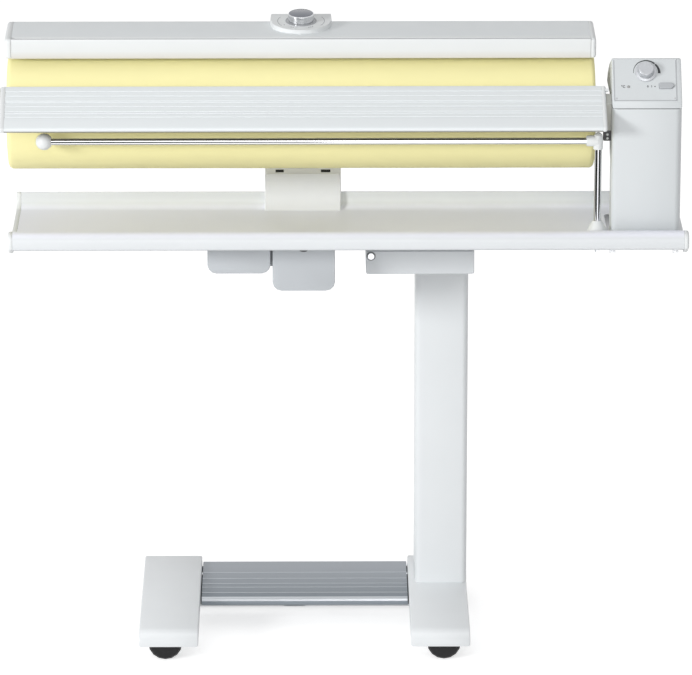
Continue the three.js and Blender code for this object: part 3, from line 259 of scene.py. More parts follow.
def smooth_group():
    """Geometry nodes that join a CAD mesh's split vertices and shade it smooth by angle."""
    group = bpy.data.node_groups.new("smooth_by_angle", "GeometryNodeTree")
    group.interface.new_socket("Geometry", in_out="INPUT", socket_type="NodeSocketGeometry")
    group.interface.new_socket("Geometry", in_out="OUTPUT", socket_type="NodeSocketGeometry")
    start = group.nodes.new("NodeGroupInput")
    end = group.nodes.new("NodeGroupOutput")
    merge = group.nodes.new("GeometryNodeMergeByDistance")
    merge.inputs["Distance"].default_value = WELD
    plain = group.nodes.new("GeometryNodeRemoveAttribute")
    plain.inputs["Name"].default_value = "custom_normal"
    faces = group.nodes.new("GeometryNodeSetShadeSmooth")
    faces.domain = "FACE"
    edges = group.nodes.new("GeometryNodeSetShadeSmooth")
    edges.domain = "EDGE"
    edges.inputs["Shade Smooth"].default_value = False
    angle = group.nodes.new("GeometryNodeInputMeshEdgeAngle")
    wide = group.nodes.new("FunctionNodeCompare")
    wide.operation = "GREATER_THAN"
    wide.inputs["B"].default_value = SHARP
    link = group.links.new
    link(start.outputs[0], plain.inputs["Geometry"])
    link(plain.outputs["Geometry"], merge.inputs["Geometry"])
    link(merge.outputs["Geometry"], faces.inputs["Geometry"])
    link(faces.outputs["Geometry"], edges.inputs["Geometry"])
    link(angle.outputs["Unsigned Angle"], wide.inputs["A"])
    link(wide.outputs["Result"], edges.inputs["Selection"])
    link(edges.outputs["Geometry"], end.inputs[0])
    return group


SMOOTH = smooth_group()


def dress(name, material, broken_edges):
    """A CAD node keeps its mesh and gets a material, smooth shading and lightly rounded edges."""
    piece = NODES[name]
    piece.data.materials.clear()
    piece.data.materials.append(MATERIALS[material])
    piece.modifiers.new("join", "NODES").node_group = SMOOTH
    if broken_edges:
        flat = piece.modifiers.new("flat", "DECIMATE")
        flat.decimate_type = "DISSOLVE"
        flat.angle_limit = math.radians(0.5)
        bevel = piece.modifiers.new("edge", "BEVEL")
        bevel.width = 0.4 * MM
        bevel.segments = 2
        bevel.limit_method = "ANGLE"
        bevel.angle_limit = SHARP
        bevel.use_clamp_overlap = True
        bevel.harden_normals = True


PLAN = {
    "cover_grey": ["heater_cover"],
    "guard_white": ["finger_guard"],
    "tray_white": ["tray"],
    "white_metal": ["column", "foot_left", "foot_right"],
    "arm_lit_white": ["heater_arm"],
    "block_shaded_white": ["pivot_block"],
    "white_plastic": ["tray_cap_left", "tray_cap_right", "feed_board_cap_left", "feed_board_cap_right",
                      "bar_post_base", "bar_elbow", "bar_ball_cap", "heater_cap_left",
                      "heater_cap_right", "dial_plate"],
    "beige_plastic": ["arm_lower_cover"],
    "feed_metal": ["feed_board"],
    "tower_white": ["tower_front", "tower_rear", "control_cap_front", "control_cap_rear",
                    "control_panel"],
    "box_grey": ["motor_cover", "press_cover", "pedal_switch"],
    "steel": ["chassis", "hinge_bracket", "drive_motor", "motor_pinion", "roller_gear",
              "roller_shaft", "cross_beam"],
    "chrome": ["fold_pin", "pedal_axle", "bar_post", "laundry_bar"],
    "aluminium": ["roller_core"],
    "pedal_metal": ["pedal"],
    "knob_metal": ["temperature_knob"],
    "dial_silver": ["speed_dial"],
    "bracket": ["feed_bracket"],
    "shoe_aluminium": ["heater_shoe"],
    "dark_plastic": ["gear_case"],
    "black_plastic": ["cord_gland"] + [f"castor_{e}_{s}_{p}" for e in ("front", "back")
                                       for s in ("left", "right") for p in ("hood", "wheels")],
    "grey_plastic": ["power_button"],
    "element": ["heating_element"],
    "lens_grey": ["heat_lamp"],
    "cotton": ["roller_cover"],
    "felt": ["roller_padding"],
}
ROUND = {"laundry_bar", "bar_post", "heating_element", "roller_cover", "roller_padding",
         "roller_core", "roller_gear", "motor_pinion", "heat_lamp", "cord_gland"}
for material_name, names in PLAN.items():
    for name in names:
        dress(name, material_name, name not in ROUND)


def finished(name, built, body, material):
    """Turns a bmesh into a piece of the scene, which rides on a body and has a slot."""
    bmesh.ops.recalc_face_normals(built, faces=built.faces)
    mesh = bpy.data.meshes.new(name)
    built.to_mesh(mesh)
    built.free()
    mesh.materials.append(MATERIALS[material])
    piece = bpy.data.objects.new(name, mesh)
    bpy.context.scene.collection.objects.link(piece)
    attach(piece, body)
    return piece


# ---------------------------------------------------------------- roller cloth

SHOULDER = 7 * MM           # radius of the cloth's bend at each end of the roller
PULL = 26 * MM              # how far the cloth reaches in over each end
AROUND, HEM_ROWS, BEND_ROWS, SLEEVE_ROWS = 180, 6, 8, 60
GATHERS = ((30, 0.9 * MM, 0.0), (47, 0.35 * MM, 1.3))       # folds around, depth, start
UNEVEN = 0.12 * MM          # how far the padding lets the sleeve rise and fall


def cloth_profile(low, high, radius):
    """Rows of (x, radius, how gathered) from the left hem over the sleeve to the right hem."""
    end = []                            # the same with the distance from the roller's end
    for i in range(HEM_ROWS):
        gather = 1 - i / HEM_ROWS
        end.append(((0.5 + 0.6 * gather) * MM, radius - SHOULDER - PULL * gather, gather))
    for i in range(BEND_ROWS + 1):
        a = math.pi / 2 * i / BEND_ROWS
        end.append((0.4 * MM + SHOULDER * (1 - math.cos(a)),
                    radius - SHOULDER * (1 - math.sin(a)), 0.0))
    start, length = low + end[-1][0], high - low - 2 * end[-1][0]
    return ([(low + away, r, gather) for away, r, gather in end]
            + [(start + length * i / SLEEVE_ROWS, radius, 0.0) for i in range(1, SLEEVE_ROWS)]
            + [(high - away, r, gather) for away, r, gather in reversed(end)])


def roller_cloth():
    """The padded cloth: a sleeve with soft shoulders, drawn in over both ends of the roller."""
    low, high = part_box("roller_cover")
    centre = (low + high) / 2
    radius = (high.y - low.y) / 2 - 0.2 * MM
    profile = cloth_profile(low.x, high.x, radius)
    built = bmesh.new()
    uv = built.loops.layers.uv.new("cloth")
    rows = []
    for x, r, gather in profile:
        outward = -1 if x < centre.x else 1
        row = []
        for k in range(AROUND):
            a = 2 * math.pi * k / AROUND
            fold = sum(depth * math.sin(count * a + start) for count, depth, start in GATHERS)
            wave = UNEVEN * math.sin(x * 41 + 3 * a) * math.cos(2 * a + x * 17) if not gather else 0
            reach = r + wave - 0.15 * MM
            row.append(built.verts.new((x + outward * gather * (fold - GATHERS[0][1]),
                                        centre.y + reach * math.cos(a),
                                        centre.z + reach * math.sin(a))))
        rows.append(row)
    for i in range(len(rows) - 1):
        for k in range(AROUND):
            n = (k + 1) % AROUND
            face = built.faces.new((rows[i][k], rows[i][n], rows[i + 1][n], rows[i + 1][k]))
            face.smooth = True
            spots = ((i, k), (i, k + 1), (i + 1, k + 1), (i + 1, k))
            for loop, (row, spot) in zip(face.loops, spots):
                loop[uv].uv = (profile[row][0], spot / AROUND * 2 * math.pi * radius)
    cloth = finished("roller_cloth", built, "roller", "cotton")
    thick = cloth.modifiers.new("thickness", "SOLIDIFY")
    thick.thickness = 2.2 * MM
    thick.offset = -1
    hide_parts("roller_cover", "roller_padding")


roller_cloth()


# ---------------------------------------------------------------- small shapes

DOWN, UP = (0, 0, -1), (0, 0, 1)
LEFT, RIGHT, BACK, FRONT = (-1, 0, 0), (1, 0, 0), (0, 1, 0), (0, -1, 0)
STEPS = 24                  # points in each ring of a small round shape


def turn_to(axis):
    """Matrix that turns local +Z to the given axis."""
    return Vector(axis).to_track_quat("Z", "Y").to_matrix().to_4x4()


def rings(built, loops, matrix):
    """Joins loops of points, all of one count, into a skin, with a face over the last one."""
    rows = [[built.verts.new(matrix @ Vector(point)) for point in loop] for loop in loops]
    count = len(rows[0])
    for low, high in zip(rows, rows[1:]):
        for k in range(count):
            n = (k + 1) % count
            built.faces.new((low[k], low[n], high[n], high[k])).smooth = True
    built.faces.new(rows[-1])
    return rows


def circle_points(radius, height):
    turns = [2 * math.pi * k / STEPS for k in range(STEPS)]
    return [(radius * math.cos(a), radius * math.sin(a), height) for a in turns]


def cross_points(arm, half, height):
    """The outline of a plus-shaped recess, with arms of a length and half width."""
    points = []
    for k in range(STEPS):
        a = 2 * math.pi * k / STEPS
        c, s = abs(math.cos(a)), abs(math.sin(a))
        long, short = max(c, s), min(c, s)
        r = arm / long if short * arm <= half * long else half / max(short, 1e-9)
        points.append((r * math.cos(a), r * math.sin(a), height))
    return points


def screw(built, at, axis, radius, height=None):
    """A pan-head screw with a crossed recess, standing on a face at a point."""
    h = height or radius * 0.55
    matrix = Matrix.Translation(Vector(at)) @ turn_to(axis)
    rings(built, [
        circle_points(radius, -0.2 * MM), circle_points(radius, h * 0.35),
        circle_points(radius * 0.93, h * 0.7), circle_points(radius * 0.75, h * 0.95),
        circle_points(radius * 0.62, h), cross_points(radius * 0.5, radius * 0.13, h),
        cross_points(radius * 0.42, radius * 0.1, h * 0.35)], matrix)


def hex_bolt(built, at, axis, radius, height):
    """A flanged hexagon bolt."""
    matrix = Matrix.Translation(Vector(at)) @ turn_to(axis)
    rings(built, [circle_points(radius * r, height * h)
                  for r, h in ((1.35, 0), (1.35, 0.16), (1.2, 0.3), (0.95, 0.3))], matrix)
    for face in built.faces:            # whatever is there so far shades smooth
        face.smooth = True
    hexagon = [(radius * math.cos(math.pi / 3 * k), radius * math.sin(math.pi / 3 * k))
               for k in range(6)]
    rows = rings(built, [[(x * f, y * f, z * height) for x, y in hexagon]
                         for f, z in ((1, 0.28), (1, 0.88), (0.86, 1))], matrix)
    for face in {face for row in rows for vertex in row for face in vertex.link_faces}:
        face.smooth = False


def on_surface(name, start, direction):
    """Where a line from a point first meets a CAD node, and the node's normal there."""
    mesh = NODES[name].data
    tree = BVHTree.FromPolygons([v.co for v in mesh.vertices], [p.vertices for p in mesh.polygons])
    place, normal, _, _ = tree.ray_cast(Vector(start), Vector(direction))
    if place is None:
        raise ValueError(f"nothing of {name} lies on the line from {start}")
    return place, normal


def screws(name, body, material, rows):
    """Screws at (node, start, direction, radius), each standing on what its line meets."""
    built = bmesh.new()
    for node_name, start, direction, radius in rows:
        place, normal = on_surface(node_name, [v * MM for v in start], direction)
        if "cap" in node_name:           # a low head that ends level with the CAD cap's face
            screw(built, place - normal * CAP_SET, normal, radius * MM, CAP_SET)
        else:
            screw(built, place, normal, radius * MM)
    finished(name, built, body, material)


FLAT = 0.3                  # the least length of a unit normal across a cut


def cut_across(node_name, point, normal):
    """A copy of a CAD node's mesh, and its edges that lie in a plane."""
    cutter = bmesh.new()
    cutter.from_mesh(NODES[node_name].data)
    bmesh.ops.remove_doubles(cutter, verts=cutter.verts, dist=WELD)
    cut = bmesh.ops.bisect_plane(cutter, geom=cutter.verts[:] + cutter.edges[:] + cutter.faces[:],
                                 plane_co=point, plane_no=normal, dist=1e-7)
    return cutter, [g for g in cut["geom_cut"] if isinstance(g, bmesh.types.BMEdge)]


def seams(name, body, rows, width, proud=0.05 * MM):
    """Thin dark joint lines: ribbons on a CAD node's surface along a plane near its edge."""
    built = bmesh.new()
    for node_name, axis, place in rows:
        normal = Vector([1 if a == axis else 0 for a in "XYZ"])
        cutter, edges = cut_across(node_name, normal * place * MM, normal)
        half = normal * width / 2
        for edge in edges:
            out = edge.link_faces[0].normal
            out = out - normal * out.dot(normal)
            if out.length < FLAT:        # the face lies nearly in the plane
                continue
            out = out.normalized() * proud
            along = (edge.verts[1].co - edge.verts[0].co).normalized() * proud
            a, b = edge.verts[0].co - along, edge.verts[1].co + along
            corners = (a - half, b - half, b + half, a + half)
            low = [built.verts.new(p - out) for p in corners]
            top = [built.verts.new(p + out) for p in corners]
            built.faces.new(top)
            built.faces.new(low[::-1])
            for k in range(4):
                n = (k + 1) % 4
                built.faces.new((low[k], low[n], top[n], top[k]))
        cutter.free()
    finished(name, built, body, "seam")


def slab(built, outline, low, high, matrix):
    """A flat plate between two heights from an outline of (x, y)."""
    bottom = [built.verts.new(matrix @ Vector((x, y, low))) for x, y in outline]
    top = [built.verts.new(matrix @ Vector((x, y, high))) for x, y in outline]
    built.faces.new(top)
    built.faces.new(bottom[::-1])
    for k in range(len(outline)):
        n = (k + 1) % len(outline)
        built.faces.new((bottom[k], bottom[n], top[n], top[k]))


def band(built, centre, from_deg, to_deg, inner, outer, height, matrix, steps):
    """A curved strip; inner and outer give the radii, each as a pair from start to end."""
    def point(t, pair):
        a = math.radians(from_deg + (to_deg - from_deg) * t)
        r = pair[0] + (pair[1] - pair[0]) * t
        return centre[0] + r * math.cos(a), centre[1] + r * math.sin(a)
    for k in range(steps):
        t, n = k / steps, (k + 1) / steps
        slab(built, [point(t, inner), point(n, inner), point(n, outer), point(t, outer)],
             *height, matrix)


def disc(built, centre, radius, height, matrix, steps):
    """A round dot."""
    band(built, centre, 0, 360, (0, 0), (radius, radius), height, matrix, steps)


def letters(built, text, size, at, low, high, matrix):
    """Plain letters as thin plates, centred on a point."""
    curve = bpy.data.curves.new("letters", "FONT")
    curve.body = text
    curve.size = size
    curve.align_x = "CENTER"
    curve.align_y = "CENTER"
    curve.resolution_u = 3
    curve.extrude = (high - low) / 2
    curve.offset = size * 0.03
    holder = bpy.data.objects.new("letters", curve)
    mesh = bpy.data.meshes.new_from_object(holder)
    mesh.transform(matrix @ Matrix.Translation((at[0], at[1], (high + low) / 2)))
    built.from_mesh(mesh)
    bpy.data.objects.remove(holder)
    bpy.data.meshes.remove(mesh)
    bpy.data.curves.remove(curve)


# ---------------------------------------------------------------- end caps

def section(name, x):
    """The outline of a CAD node where a plane across X cuts it, as points in order."""
    cutter, edges = cut_across(name, (x, 0, 0), (1, 0, 0))
    ends = {}
    for edge in edges:
        first, second = edge.verts
        ends.setdefault(first, []).append(second)
        ends.setdefault(second, []).append(first)
    start = here = edges[0].verts[0]
    before, points = None, []
    while True:
        points.append((here.co.y, here.co.z))
        onward = [v for v in ends[here] if v is not before]
        before, here = here, onward[0]
        if here is start:
            break
    cutter.free()
    kept = [p for k, p in enumerate(points) if math.dist(p, points[k - 1]) > 0.05 * MM]
    area = sum(a[0] * b[1] - b[0] * a[1] for a, b in zip(kept, kept[1:] + kept[:1]))
    return kept if area > 0 else kept[::-1]


CORNER = 0.45               # keeps a point at a sharp corner from moving in too far


def inward(points, distances):
    """An outline with every point moved in by its own distance."""
    moved = []
    for k, (y, z) in enumerate(points):
        before, after = points[k - 1], points[(k + 1) % len(points)]
        first = Vector((y - before[0], z - before[1])).normalized()
        second = Vector((after[0] - y, after[1] - z)).normalized()
        side = Vector((-first.y - second.y, first.x + second.x))
        side = side.normalized() if side.length > 1e-6 else Vector((-first.y, first.x))
        reach = distances[k] / max(CORNER, side.dot(Vector((-first.y, first.x))))
        moved.append((y + side.x * reach, z + side.y * reach))
    return moved


CAP_SET = 0.6 * MM          # how far a cap's face lies inside its CAD face, under its screws
CAP_STEPS = 6               # faces across a cap's rounded rim


def soft_cap(node_name, body, side, radius, rim=None):
    """Stands for a CAD end cap, with the same outline and a well rounded outer rim.

    side is -1 or 1 for the cap's outer end, and rim gives the radius by Y where it varies."""
    low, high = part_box(node_name)
    outline = section(node_name, (low.x + high.x) / 2)
    outer, inner = (low.x, high.x) if side < 0 else (high.x, low.x)
    outer -= side * CAP_SET
    radii = [min(radius, rim(y)) if rim else radius for y, _ in outline]
    levels = [(inner, [0.3 * MM] * len(outline)), (inner + side * 0.3 * MM, [0.0] * len(outline))]
    for k in range(CAP_STEPS + 1):
        a = math.pi / 2 * k / CAP_STEPS
        levels.append((outer - side * radius * (1 - math.sin(a)),
                       [r * (1 - math.cos(a)) for r in radii]))
    built = bmesh.new()
    rows = [[built.verts.new((x, y, z)) for y, z in inward(outline, distances)]
            for x, distances in levels]
    for near, far in zip(rows, rows[1:]):
        for k in range(len(outline)):
            n = (k + 1) % len(outline)
            built.faces.new((near[k], near[n], far[n], far[k])).smooth = True
    built.faces.new(rows[0])
    built.faces.new(rows[-1])
    for edge in built.edges:
        if len(edge.link_faces) == 2 and edge.calc_face_angle(0) > SHARP:
            edge.smooth = False
    piece = finished(f"{node_name}_soft", built, body, "white_plastic")
    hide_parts(node_name)


def tray_rim(y):
    """The tray's caps are rounded in front, where they show, and nearly square behind."""
    return 3.4 * MM if y < -0.162 else 0.6 * MM


soft_cap("tray_cap_left", "head", -1, 3.4 * MM, tray_rim)
soft_cap("tray_cap_right", "head", 1, 3.4 * MM, tray_rim)
soft_cap("feed_board_cap_left", "head", -1, 3.0 * MM)
soft_cap("feed_board_cap_right", "head", 1, 3.0 * MM)
soft_cap("heater_cap_left", "heater", -1, 5.0 * MM)
soft_cap("heater_cap_right", "heater", 1, 4.5 * MM)


# ---------------------------------------------------------------- control panel

PRINTED = (-0.05 * MM, 0.06 * MM)       # the heights of printing under and over its face
SLOPE = math.atan2(54, 46)
# Local x runs along the object's X, y up the slope from the panel's lower edge, z out of it.
ON_PANEL = Matrix.Translation((0, -0.149, 0.856)) @ Matrix.Rotation(SLOPE, 4, "X")
FACE = 0.30 * MM                        # the panel's face on that z


def panel_marks():
    """The dial's wedge-shaped scale, the degree mark, 0 and I, and the lamp's dot."""
    dial = (0.430, 0.048)
    height = [FACE + h for h in PRINTED]
    inner, thin, middle, thick = 17.2 * MM, 17.7 * MM, 19.6 * MM, 21.2 * MM
    built = bmesh.new()
    band(built, dial, 186, 46, (inner, inner), (thin, middle), height, ON_PANEL, 48)
    band(built, dial, 42, -6, (inner, inner), (middle, thick), height, ON_PANEL, 18)
    for mark, size, at in (("\u00b0C", 5.2, (0.3972, 0.0247)), ("0", 4.4, (0.4324, 0.0250)),
                           ("I", 4.4, (0.4379, 0.0250))):
        letters(built, mark, size * MM, at, *height, ON_PANEL)
    disc(built, (0.4425, 0.0250), 0.9 * MM, height, ON_PANEL, 16)
    finished("panel_marks", built, "head", "print")


def panel_edges():
    """The joint between the inset panel and its cap, and the panel's two screws."""
    panel_low, panel_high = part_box("control_panel")
    left, right = panel_low.x + 0.5 * MM, panel_high.x - 0.5 * MM
    low, high, wide = 2.6 * MM, 67.0 * MM, 0.8 * MM
    built = bmesh.new()
    for x0, x1, y0, y1 in ((left, right, low, low + wide), (left, left + wide, low, high),
                           (right - wide, right, low, high)):
        slab(built, [(x0, y0), (x1, y0), (x1, y1), (x0, y1)], *(FACE + h for h in PRINTED), ON_PANEL)
    finished("panel_border", built, "head", "ring_grey")

    built = bmesh.new()
    for x in (panel_low.x + 3.6 * MM, panel_high.x - 3.6 * MM):
        at = ON_PANEL @ Vector((x, 6.2 * MM, FACE - 0.1 * MM))
        screw(built, at, ON_PANEL.to_3x3() @ Vector((0, 0, 1)), 1.5 * MM, 0.5 * MM)
    finished("panel_screws", built, "head", "steel")


panel_marks()
panel_edges()


# ---------------------------------------------------------------- dial plate on the heater

knob_low, knob_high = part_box("temperature_knob")
KNOB = ((knob_low.x + knob_high.x) / 2, -0.019)
# Local origin on the plate's face at its front edge, x across, y back along the face.
ON_PLATE = (Matrix.Translation((KNOB[0], -0.057, 0.940))
            @ Matrix.Rotation(math.atan2(8, 67), 4, "X"))


def plate_marks():
    """The arcs and dots round the temperature knob, its ring, and a white dot in front of it as a
    painted highlight.
    """
    centre = (0, 0.0382)
    face = on_surface("dial_plate", (KNOB[0] - 0.036, KNOB[1], 1.0), DOWN)[0]
    level = (ON_PLATE.inverted() @ face).z
    height = [level + h for h in PRINTED]
    built = bmesh.new()
    for start, end in ((152, 214), (-34, 28)):
        band(built, centre, start, end, (33.4 * MM,) * 2, (34.1 * MM,) * 2, height, ON_PLATE, 24)
    for angle in (214, 241, 247, 293, 299, 305):
        a, out = math.radians(angle), 29 * MM
        spot = (centre[0] + out * math.cos(a), centre[1] + out * math.sin(a))
        disc(built, spot, 1 * MM, height, ON_PLATE, 12)
    finished("plate_marks", built, "heater", "soft_print")

    built = bmesh.new()
    band(built, centre, 0, 360, (19.6 * MM,) * 2, (22.6 * MM,) * 2,
         (level - 0.05 * MM, level + 0.5 * MM), ON_PLATE, 48)
    finished("knob_ring", built, "heater", "ring_grey")

    built = bmesh.new()
    # Painted highlight: a raised white dot where the knob's reflection falls on the cover.
    place, normal = on_surface("heater_cover", (KNOB[0] - 0.001, -0.0605, 1.0), DOWN)
    rings(built, [circle_points(r * MM, h * MM) for r, h in
                  ((2.9, -0.2), (2.9, 0.35), (2.6, 0.6), (1.4, 0.8))],
          Matrix.Translation(place) @ turn_to(normal))
    finished("plate_highlight_dot", built, "heater", "white_metal")


plate_marks()


# ---------------------------------------------------------------- screws, bolts, joint lines

screws("head_screws", "head", "steel", [
    ("tower_rear", (402, 80, 660), FRONT, 3.2), ("tower_rear", (471, 80, 690), FRONT, 3.2),
    ("tower_rear", (402, 80, 832), FRONT, 3.2), ("tower_rear", (471, 80, 832), FRONT, 3.2),
    ("tray_cap_left", (-520, -176, 657), RIGHT, 3.0), ("tray_cap_right", (520, -176, 657), LEFT, 3.0),
    ("feed_board_cap_left", (-520, -127, 861), RIGHT, 2.6),
    ("feed_board_cap_left", (-520, -171, 834), RIGHT, 2.6),
    ("motor_cover", (-152, -10, 560), UP, 3.0), ("motor_cover", (-152, -95, 560), UP, 3.0),
    ("press_cover", (-59, -10, 540), UP, 3.0), ("press_cover", (-59, -95, 540), UP, 3.0),
])
screws("bracket_screws", "head", "white_plastic", [
    ("feed_bracket", (376.4, -200, 801.6), BACK, 1.8),
    ("feed_bracket", (376.4, -200, 796.0), BACK, 1.8),
])
screws("heater_screws", "heater", "steel", [
    ("heater_cap_left", (-520, 58, 904), RIGHT, 2.8), ("heater_cap_left", (-520, 84, 812), RIGHT, 2.8),
    ("heater_cap_right", (400, 58, 904), LEFT, 2.8), ("heater_cap_right", (400, 84, 812), LEFT, 2.8),
])


def under_bolts():
    """Bolts of the control tower, under the tray's front."""
    built = bmesh.new()
    for x, radius, height in ((384.6, 4.6, 7.0), (475.2, 4.6, 7.0), (362.7, 3.6, 5.6)):
        hex_bolt(built, Vector((x, -146, 639)) * MM, DOWN, radius * MM, height * MM)
    finished("under_bolts", built, "head", "chrome")


under_bolts()


def board_pin():
    """The white pin at the back of the feed board's right cap, towards the tower."""
    built = bmesh.new()
    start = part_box("feed_board_cap_right")[1].x
    rings(built, [circle_points(r * MM, h * MM) for r, h in
                  ((0.4, -1.2), (2.3, -1.2), (2.5, 0), (2.5, 2.6), (1.9, 3.3), (0.8, 3.5))],
          Matrix.Translation((start, -0.1205, 0.8665)) @ turn_to(RIGHT))
    finished("board_pin", built, "head", "white_plastic")


board_pin()


def cover_hole():
    """The recessed fixing high on the front of the deeper cover under the tray."""
    built = bmesh.new()
    place = on_surface("press_cover", (-0.0592, -0.3, 0.6290), BACK)[0]
    matrix = Matrix.Translation(place) @ Matrix.Rotation(math.pi / 2, 4, "X")

    def oval(size, height):
        return [(x * 1.7, y * 0.62, z) for x, y, z in circle_points(size * MM, height * MM)]
    rings(built, [oval(3.3, -0.1), oval(3.3, 0.25), oval(2.9, 0.35), oval(2.5, 0.1)], matrix)
    finished("cover_hole", built, "head", "seam")


cover_hole()

cap_left, cap_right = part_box("heater_cap_left")[1].x / MM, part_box("heater_cap_right")[0].x / MM
seams("heater_seams", "heater", [
    ("heater_cap_left", "X", cap_left - 0.45), ("heater_cap_right", "X", cap_right + 0.45),
], 0.7 * MM)
seams("head_seams", "head", [
    ("tower_front", "Z", 846.6), ("tower_rear", "Z", 846.6),
    ("tower_front", "Y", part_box("tower_front")[1].y / MM - 0.4),
    ("control_cap_front", "Y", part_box("control_cap_front")[1].y / MM - 0.4),
    ("tray_cap_left", "X", -475.4), ("tray_cap_right", "X", 485.4),
    ("feed_board_cap_left", "X", -484.4),
    ("feed_board_cap_right", "X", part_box("feed_board_cap_right")[0].x / MM + 0.4),
], 0.8 * MM)


def ribbon(built, path, left, right, proud=0.08, sunk=0.3):
    """A thin skin over a CAD surface: a path of (y, z), drawn out from left to right, in mm."""
    rows = []
    for k, (y, z) in enumerate(path):
        before, after = path[max(k - 1, 0)], path[min(k + 1, len(path) - 1)]
        along = Vector((after[0] - before[0], after[1] - before[1])).normalized()
        out = Vector((-along.y, along.x))
        for reach in (proud, -sunk):
            for x in (left, right):
                rows.append(built.verts.new(Vector((x, y + out.x * reach, z + out.y * reach)) * MM))
    for k in range(0, len(rows) - 4, 4):
        a, b, c, d, e, f, g, h = rows[k:k + 8]
        for corners in ((a, b, f, e), (c, g, h, d), (a, e, g, c), (b, d, h, f)):
            built.faces.new(corners)
    built.faces.new(rows[:2] + rows[2:4][::-1])
    built.faces.new(rows[-4:-2] + rows[-2:][::-1])


def front_edges():
    """A painted highlight along the front edge of the heater's cover, and the joint behind the finger
    guard.
    """
    low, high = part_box("heater_cover")
    built = bmesh.new()
    # Painted highlight: a lighter strip along the cover's front edge.
    ribbon(built, [(-74.84, 930.44), (-74.36, 931.62), (-73.6, 932.65), (-72.6, 933.44),
                   (-71.44, 933.96), (-70.18, 934.17)], low.x / MM + 0.3, high.x / MM - 0.3)
    finished("cover_edge_highlight", built, "heater", "guard_white")
    low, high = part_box("finger_guard")
    built = bmesh.new()
    ribbon(built, [(-84.0, 933.62), (-83.6, 933.7), (-81.4, 933.7), (-80.7, 933.51),
                   (-80.34, 933.16), (-80.19, 933.0)],
           low.x / MM + 0.4, high.x / MM - 0.4, proud=0.06)
    finished("guard_joint", built, "finger_guard", "ring_grey")


front_edges()


def arm_joint():
    """The lip where the heater's arm meets the cover below it, and painted shade in the two slots
    there.
    """
    low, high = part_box("arm_lower_cover")
    built = bmesh.new()
    ribbon(built, [(60.0, 684.0), (59.8, 690.0), (59.9, 694.2), (60.3, 695.0)],
           low.x / MM + 1.5, high.x / MM - 1.5, proud=0.1, sunk=1.2)
    finished("arm_lip", built, "head", "beige_plastic")
    # Painted shade: dark strips in the two slots.
    built = bmesh.new()
    for x0, x1 in ((-100.4, -88.3), (-33.7, -19.9)):
        ribbon(built, [(63.83, 695.7), (64.6, 698.2), (65.0, 699.5)], x0, x1, proud=0.25, sunk=0.6)
    finished("arm_slot_shade", built, "heater", "dark_gap")


arm_joint()


def under_details():
    """A grey plate in the gap between the two covers under the tray, as painted shade, and the rim of
    the fold pin.
    """
    # Painted shade: a grey plate fills the gap between the covers.
    built = bmesh.new()
    first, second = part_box("motor_cover")[1].x - 0.5 * MM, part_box("press_cover")[0].x + 0.5 * MM
    slab(built, [(first, -0.100), (second, -0.100), (second, 0.0), (first, 0.0)],
         0.600, 0.6395, Matrix())
    finished("covers_gap_shade", built, "head", "grey_plastic")
    built = bmesh.new()
    pin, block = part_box("fold_pin"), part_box("pivot_block")
    centre = (pin[0] + pin[1]) / 2
    radius = (pin[1].x - pin[0].x) / 2
    matrix = Matrix.Translation((centre.x, block[0].y, centre.z)) @ turn_to(FRONT)
    band(built, (0, 0), 0, 360, (radius + 0.1 * MM,) * 2, (radius + 1.1 * MM,) * 2,
         (-0.1 * MM, 0.3 * MM), matrix, 32)
    finished("pin_rim", built, "stand", "seam")


def pedal_details():
    """Painted highlights beside the pedal's grooves and on its front edge, and painted shade in the
    gaps at its ends.
    """
    low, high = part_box("pedal")
    ends = low.x / MM + 0.5, high.x / MM - 0.5
    # Painted highlights: light strips beside the grooves and over the front edge.
    built = bmesh.new()
    for groove, z in ((41.2, 48.56), (63.2, 49.12), (79.1, 49.53), (100.1, 50.06), (125.5, 50.71)):
        ribbon(built, [(groove, z), (groove + 1.3, z + 0.03)], *ends, proud=0.06)
    ribbon(built, [(18.3, 43.2), (18.54, 44.2), (18.9, 45.4), (19.8, 46.6), (20.91, 47.3),
                   (22.93, 47.89), (23.84, 48.16)], *ends, proud=0.06)
    finished("pedal_highlights", built, "pedal", "aluminium")
    # Painted shade: dark plates in the gaps between the pedal and the feet.
    built = bmesh.new()
    for x0, x1 in ((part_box("foot_left")[1].x, low.x - 0.3 * MM),
                   (high.x + 0.3 * MM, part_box("foot_right")[0].x)):
        slab(built, [(x0, 0.020), (x1, 0.020), (x1, 0.174), (x0, 0.174)], 0.0375, 0.044, Matrix())
    finished("pedal_gap_shade", built, "stand", "dark_gap")


under_details()
pedal_details()


# ---------------------------------------------------------------- studio and camera

WORLD_LIGHT = 0.48          # the white world's strength on the object; the camera sees 1
FLOOR_LIFT = 0.60           # added to the floor for the camera and for reflections
LAMPS = [                   # name, place, aim, size, watts
    ("key", (-4.8, -4.0, 2.3), (0, 0, 0.7), (1.4, 1.2), 205),
    ("front", (-0.2, -5.6, 3.3), (0, 0, 0.6), (3.4, 1.6), 60),
    ("low", (-0.4, -6.4, 1.3), (0, 0, 0.6), (3.0, 0.8), 34),
]


def stage(name, built):
    """A piece of the studio, which isn't part of the object."""
    mesh = bpy.data.meshes.new(name)
    built.to_mesh(mesh)
    built.free()
    made = bpy.data.objects.new(name, mesh)
    bpy.context.scene.collection.objects.link(made)
    return made


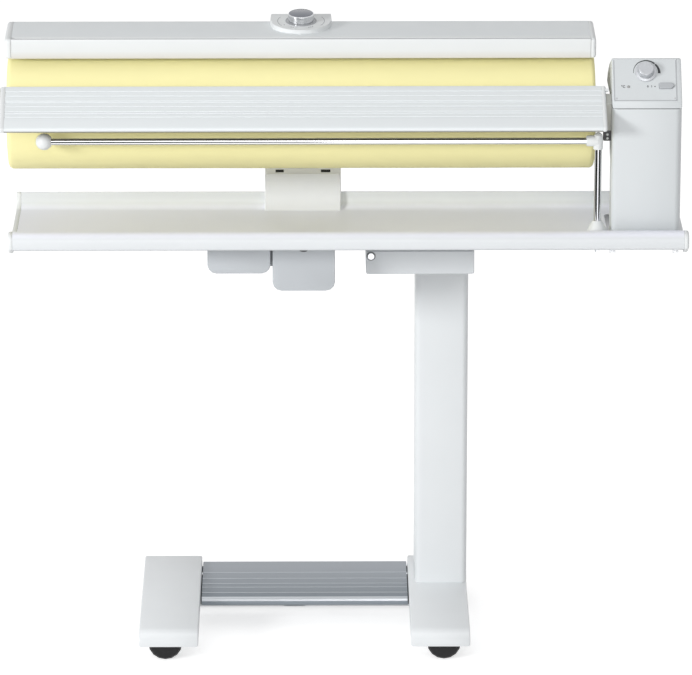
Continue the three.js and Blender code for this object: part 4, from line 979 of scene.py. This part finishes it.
def studio():
    """A white world and floor, the lamps, and the dark cards that polished metal mirrors."""
    scene = bpy.context.scene
    scene.view_settings.view_transform = "Standard"
    scene.world = bpy.data.worlds.new("studio")
    scene.world.use_nodes = True
    tree = scene.world.node_tree
    background = tree.nodes["Background"]
    ray = node(tree, "ShaderNodeLightPath").outputs
    seen = calculate(tree, "MAXIMUM", ray["Is Camera Ray"], ray["Is Glossy Ray"])
    seen = calculate(tree, "MAXIMUM", seen, ray["Is Transmission Ray"])
    background.inputs["Color"].default_value = (1, 1, 1, 1)
    tree.links.new(remap(tree, seen, (0, 1), (WORLD_LIGHT, 1)), background.inputs["Strength"])

    built = bmesh.new()
    bmesh.ops.create_circle(built, cap_ends=True, segments=64, radius=40)
    floor = stage("floor", built)
    floor.location.z = -0.5 * MM
    tree, shader = new_material("floor")
    shader.inputs["Base Color"].default_value = (0.86, 0.86, 0.86, 1)
    shader.inputs["Roughness"].default_value = 0.9
    shader.inputs["Specular IOR Level"].default_value = 0.0
    shader.inputs["Emission Color"].default_value = (1, 1, 1, 1)
    ray = node(tree, "ShaderNodeLightPath").outputs
    seen = calculate(tree, "MAXIMUM", ray["Is Camera Ray"], ray["Is Glossy Ray"])
    tree.links.new(calculate(tree, "MULTIPLY", seen, FLOOR_LIFT), shader.inputs["Emission Strength"])
    floor.data.materials.append(MATERIALS["floor"])

    for name, at, to, size, power in LAMPS:
        data = bpy.data.lights.new(name, "AREA")
        data.shape = "RECTANGLE"
        data.size, data.size_y = size
        data.energy = power
        lamp = bpy.data.objects.new(name, data)
        scene.collection.objects.link(lamp)
        lamp.location = at
        lamp.rotation_mode = "QUATERNION"
        lamp.rotation_quaternion = (Vector(to) - Vector(at)).to_track_quat("-Z", "Y")

    # Dark cards on the floor to the left and right of the view, seen only by polished metal.
    built = bmesh.new()
    for (x0, y0), (x1, y1) in (((-0.02, -1.72), (-1.45, -0.42)), ((0.92, -1.62), (1.9, -0.25))):
        corners = [(x0, y0, 0.0), (x1, y1, 0.0), (x1, y1, 1.0), (x0, y0, 1.0)]
        built.faces.new([built.verts.new(c) for c in corners])
    card = stage("dark_card", built)
    card.data.materials.append(MATERIALS["dark_gap"])
    card.visible_camera = card.visible_diffuse = card.visible_shadow = False
    card.visible_transmission = False


studio()

FOCAL, PHOTO_WIDTH = 5437, 692              # both in pixels of the photo
PITCH, YAW = math.radians(17.0), math.radians(0.38)


def camera():
    """The photo's viewing angle, tilted and without shift, so that other views keep their frame."""
    data = bpy.data.cameras.new("camera")
    data.sensor_width = 36
    data.lens = FOCAL * data.sensor_width / PHOTO_WIDTH
    data.clip_start, data.clip_end = 0.05, 200
    made = bpy.data.objects.new("camera", data)
    bpy.context.scene.collection.objects.link(made)
    made.location = (-0.048, -7.65, 2.80)
    forward = Vector((math.sin(YAW) * math.cos(PITCH), math.cos(YAW) * math.cos(PITCH),
                      -math.sin(PITCH)))
    made.rotation_mode = "QUATERNION"
    made.rotation_quaternion = forward.to_track_quat("-Z", "Y")
    bpy.context.scene.camera = made


camera()
